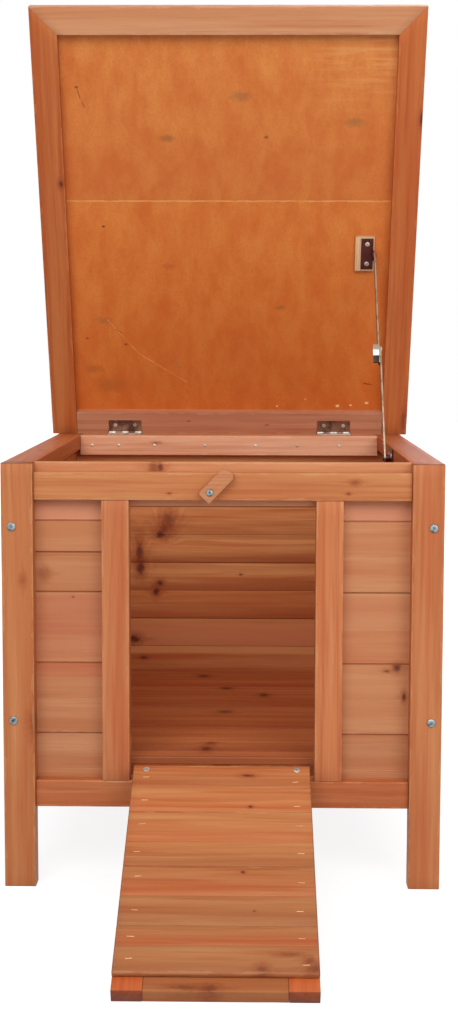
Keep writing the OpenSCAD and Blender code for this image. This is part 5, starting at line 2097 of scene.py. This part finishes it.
    def stay(self) -> None:
        """Builds the folding stay's two arms."""
        places = [vertex.co for vertex in self.workshop.nodes["stay_upper_arm"].data.vertices]
        beside = min(place.x for place in places) + self.TAB_REACH
        heights = [place.z for place in places if place.x < beside]
        # The upper arm's tab gets painted shade below its bend and a painted highlight above it.
        tabbed = replace(STAY_ZINC, roughness=0.37, tab=(beside, min(heights), max(heights)))
        for side, plating in (("upper", tabbed), ("lower", STAY_ZINC)):
            finish = self.metals.plated(plating)
            self.eased(f"stay_{side}_arm", f"stay_{side}", "stay_steel", self.ARM_EASING, finish)

    def button(self) -> None:
        """Builds the turn button."""
        timber = Timber("turn_button", Cut.X_WIDE_Z, PALE_PINE.toned(0.92, 0.86, 0.82), 97)
        finish = self.woods.material(timber)
        self.eased(timber.node, "button", timber.wood.slot, self.BUTTON_EASING, finish)

    def fasteners(self) -> None:
        """Sets all screws, nails and staples on the places of their CAD solids."""
        cabin_names = {HINGE_SCREW: "cabin_flat_screws", BRACKET_SCREW: "wall_bracket_screws"}
        lid_names = {HINGE_SCREW: "lid_flat_screws", BRACKET_SCREW: "lid_bracket_screws"}
        ramp_names = {HINGE_SCREW: "ramp_flat_screws", RAMP_SCREW: "ramp_pan_screws"}
        button, nail = facing_front(BUTTON_SCREW), facing_front(REAR_NAIL)
        for node, part, choose, plating, names in (
            ("corner_screws", Part.CABIN, corner_screw, BRIGHT_ZINC, {CORNER_SCREW: "corner_screw_heads"}),
            ("cabin_small_screws", Part.CABIN, cabin_screw, WORN_ZINC, cabin_names),
            ("lid_small_screws", Part.LID, lid_screw, WORN_ZINC, lid_names),
            ("ramp_screws", Part.RAMP, ramp_screw, WORN_ZINC, ramp_names),
            ("turn_button_screw", Part.CABIN, button, BRIGHT_ZINC, {BUTTON_SCREW: "button_screw_head"}),
            ("rear_rail_nails", Part.CABIN, nail, WORN_ZINC, {REAR_NAIL: "rear_nail_heads"}),
        ):
            seats = self.seats(node, part, choose)
            replaced = (node,)
            for fastener, name in names.items():
                self.set_heads(name, fastener, seats[fastener], part, plating, *replaced)
                replaced = ()
        self.staples()

    def seats(self, node: str, part: Part, choose: Choice) -> dict[Fastener, list[Seat]]:
        """Finds the seats of a CAD node's fasteners.

        Args:
            node: The CAD node's name.
            part: The sub-assembly it belongs to.
            choose: Gives the fastener and the way it looks from the middle of its solid.

        Returns:
            The seats of each fastener.
        """
        found: dict[Fastener, list[Seat]] = {}
        for box in self.workshop.islands(node, part):
            fastener, lean = choose((box[0] + box[1]) / 2)
            found.setdefault(fastener, []).append(lean.seat(box, fastener.sunk))
        return found

    def set_heads(
        self, name: str, fastener: Fastener, seats: list[Seat], part: Part, plating: Plating, *nodes: str
    ) -> None:
        """Sets equal fasteners on their seats.

        Args:
            name: The piece's name.
            fastener: The screw or nail.
            seats: Its seats in the sub-assembly's frame.
            part: The sub-assembly.
            plating: The metal finish.
            nodes: The CAD nodes that the piece replaces.
        """
        finish = self.metals.plated(plating)
        one = fastener.build(f"{name}_one")
        piece = scatter(name, one, seats, finish, self.HEAD_SPIN, self.HEAD_SEED)
        piece.data.transform(self.workshop.place[part])
        self.hang(piece, part.value, "zinc_fasteners", *nodes)

    def staples(self) -> None:
        """Sets the ramp's staples, a little uneven as a gun leaves them."""
        # The staples' pale finish carries a painted glint.
        zinc_and_glint = self.metals.plated(STAPLE_WIRE_AND_GLINT)
        one = shaped("staple_one", Staple().work(), Matrix.Identity(4), zinc_and_glint)
        face = self.workshop.corners("ramp_staples", Part.RAMP)[1].y
        lot = random.Random(5)
        seats = []
        for low, high in self.workshop.islands("ramp_staples", Part.RAMP):
            at = (low + high) / 2
            at.y = face
            at.x += lot.uniform(-2, 2) * MM
            at.z += lot.uniform(-1.5, 1.5) * MM
            seats.append((at, Lean.BACKWARD.value[2]))
        made = scatter("staple_crowns", one, seats, zinc_and_glint, self.STAPLE_SPIN, self.STAPLE_SEED)
        made.data.transform(self.workshop.place[Part.RAMP])
        self.hang(made, "ramp", "zinc_fasteners", "ramp_staples")


@dataclass(frozen=True)
class Lamp:
    """A soft square lamp: its place and aim, its side in metres and its power in watts."""

    name: str
    place: tuple[float, float, float]
    aim: tuple[float, float, float]
    side: float
    power: float

    def build(self) -> None:
        """Hangs the lamp in the studio."""
        data = bpy.data.lights.new(self.name, "AREA")
        data.size = self.side
        data.energy = self.power
        lamp = linked(self.name, data)
        lamp.location = self.place
        lamp.rotation_euler = (Vector(self.aim) - Vector(self.place)).to_track_quat("-Z", "Y").to_euler()


@dataclass
class Studio:
    """Floor, lamps, world and camera."""

    LAMPS = (
        Lamp("key", (-0.8, -2.4, 2.4), (0.0, 0.0, 0.65), 1.9, 51.0),
        Lamp("fill", (1.4, -2.3, 1.8), (0.0, 0.0, 0.6), 1.7, 31.0),
        Lamp("rear", (0.9, 2.3, 2.2), (0.0, 0.2, 0.45), 1.6, 26.0),
    )
    PAPER = (0.62, 0.62, 0.62)
    PAPER_IN_SIGHT = (0.26, 0.26, 0.26)

    camera_at: tuple[float, float, float] = (0.03168, -1.74868, 0.63145)
    yaw: float = 0.01488
    pitch: float = -0.08895
    roll: float = -0.00223
    focal_pixels: float = 1459.89
    frame_height: int = 1024
    centre_row: float = 467.47
    sensor: float = 36.0
    sight: float = 50.0
    world_light: float = 0.4
    world_shown: float = 0.6
    floor_size: float = 9.0

    def build(self) -> None:
        """Makes everything round the object."""
        self.floor()
        self.world()
        for lamp in self.LAMPS:
            lamp.build()
        self.camera()

    def camera(self) -> None:
        """Makes the camera at the photograph's viewing angle."""
        data = bpy.data.cameras.new("camera")
        camera = linked("camera", data)
        turn = Matrix.Identity(4)
        for angle, axis in ((self.yaw, "Z"), (self.pitch, "X"), (self.roll, "Y"), (math.pi / 2, "X")):
            turn = turn @ Matrix.Rotation(angle, 4, axis)
        camera.matrix_world = Matrix.Translation(self.camera_at) @ turn
        data.sensor_width = self.sensor
        data.lens = self.focal_pixels / self.frame_height * data.sensor_width
        data.shift_y = (self.centre_row - self.frame_height / 2) / self.frame_height
        data.clip_end = self.sight
        bpy.context.scene.camera = camera

    @staticmethod
    def seen(bench: NodeBench) -> Socket:
        """Marks what the camera sees straight, mirrored or through another surface.

        Args:
            bench: The tree it is built in.

        Returns:
            1 where it is seen so, and 0 elsewhere.
        """
        path = bench.add("ShaderNodeLightPath").outputs
        mirrored = bench.maths("MAXIMUM", path["Is Glossy Ray"], path["Is Transmission Ray"])
        return bench.maths("MAXIMUM", path["Is Camera Ray"], mirrored)

    def floor(self) -> None:
        """Makes the plain pale floor, white to the camera with a soft shadow near the feet."""
        work = bmesh.new()
        bmesh.ops.create_grid(work, x_segments=1, y_segments=1, size=self.floor_size)
        material = bpy.data.materials.new("floor")
        material.use_nodes = True
        nodes = material.node_tree.nodes
        nodes.remove(nodes["Principled BSDF"])
        bench = NodeBench(material.node_tree)
        share = self.seen(bench)
        tint = bench.blend(share, self.PAPER, self.PAPER_IN_SIGHT)
        paper = bench.wired("ShaderNodeBsdfDiffuse", {"Color": tint})
        far = bench.fade(bench.vector("LENGTH", bench.place()), 0.55, 1.5, 0.87, 1.05)
        glow = bench.wired("ShaderNodeEmission", {"Strength": bench.times(share, far)})
        both = bench.wired("ShaderNodeAddShader", {0: paper, 1: glow})
        bench.feed(nodes["Material Output"].inputs["Surface"], both)
        floor = shaped("floor", work, Matrix.Identity(4), material)

    def world(self) -> None:
        """Makes the white surroundings, which light the object softly."""
        world = bpy.data.worlds.new("studio")
        bpy.context.scene.world = world
        world.use_nodes = True
        bench = NodeBench(world.node_tree)
        ground = world.node_tree.nodes["Background"].inputs
        strength = bench.maths("MULTIPLY_ADD", self.seen(bench), self.world_shown, self.world_light)
        bench.feed(ground["Color"], (1.0, 1.0, 1.0))
        bench.feed(ground["Strength"], strength)


def main() -> None:
    """Builds the cat house and its studio."""
    logging.basicConfig(level=logging.INFO, format="%(name)s %(message)s")
    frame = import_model()
    scene = bpy.context.scene
    scene.view_settings.view_transform = "Standard"
    house = CatHouse(Workshop(frame))
    Studio().build()
    house.cabin()
    house.lid()
    house.ramp()
    house.stay()
    house.button()
    house.fasteners()


if __name__ == "__main__":
    main()
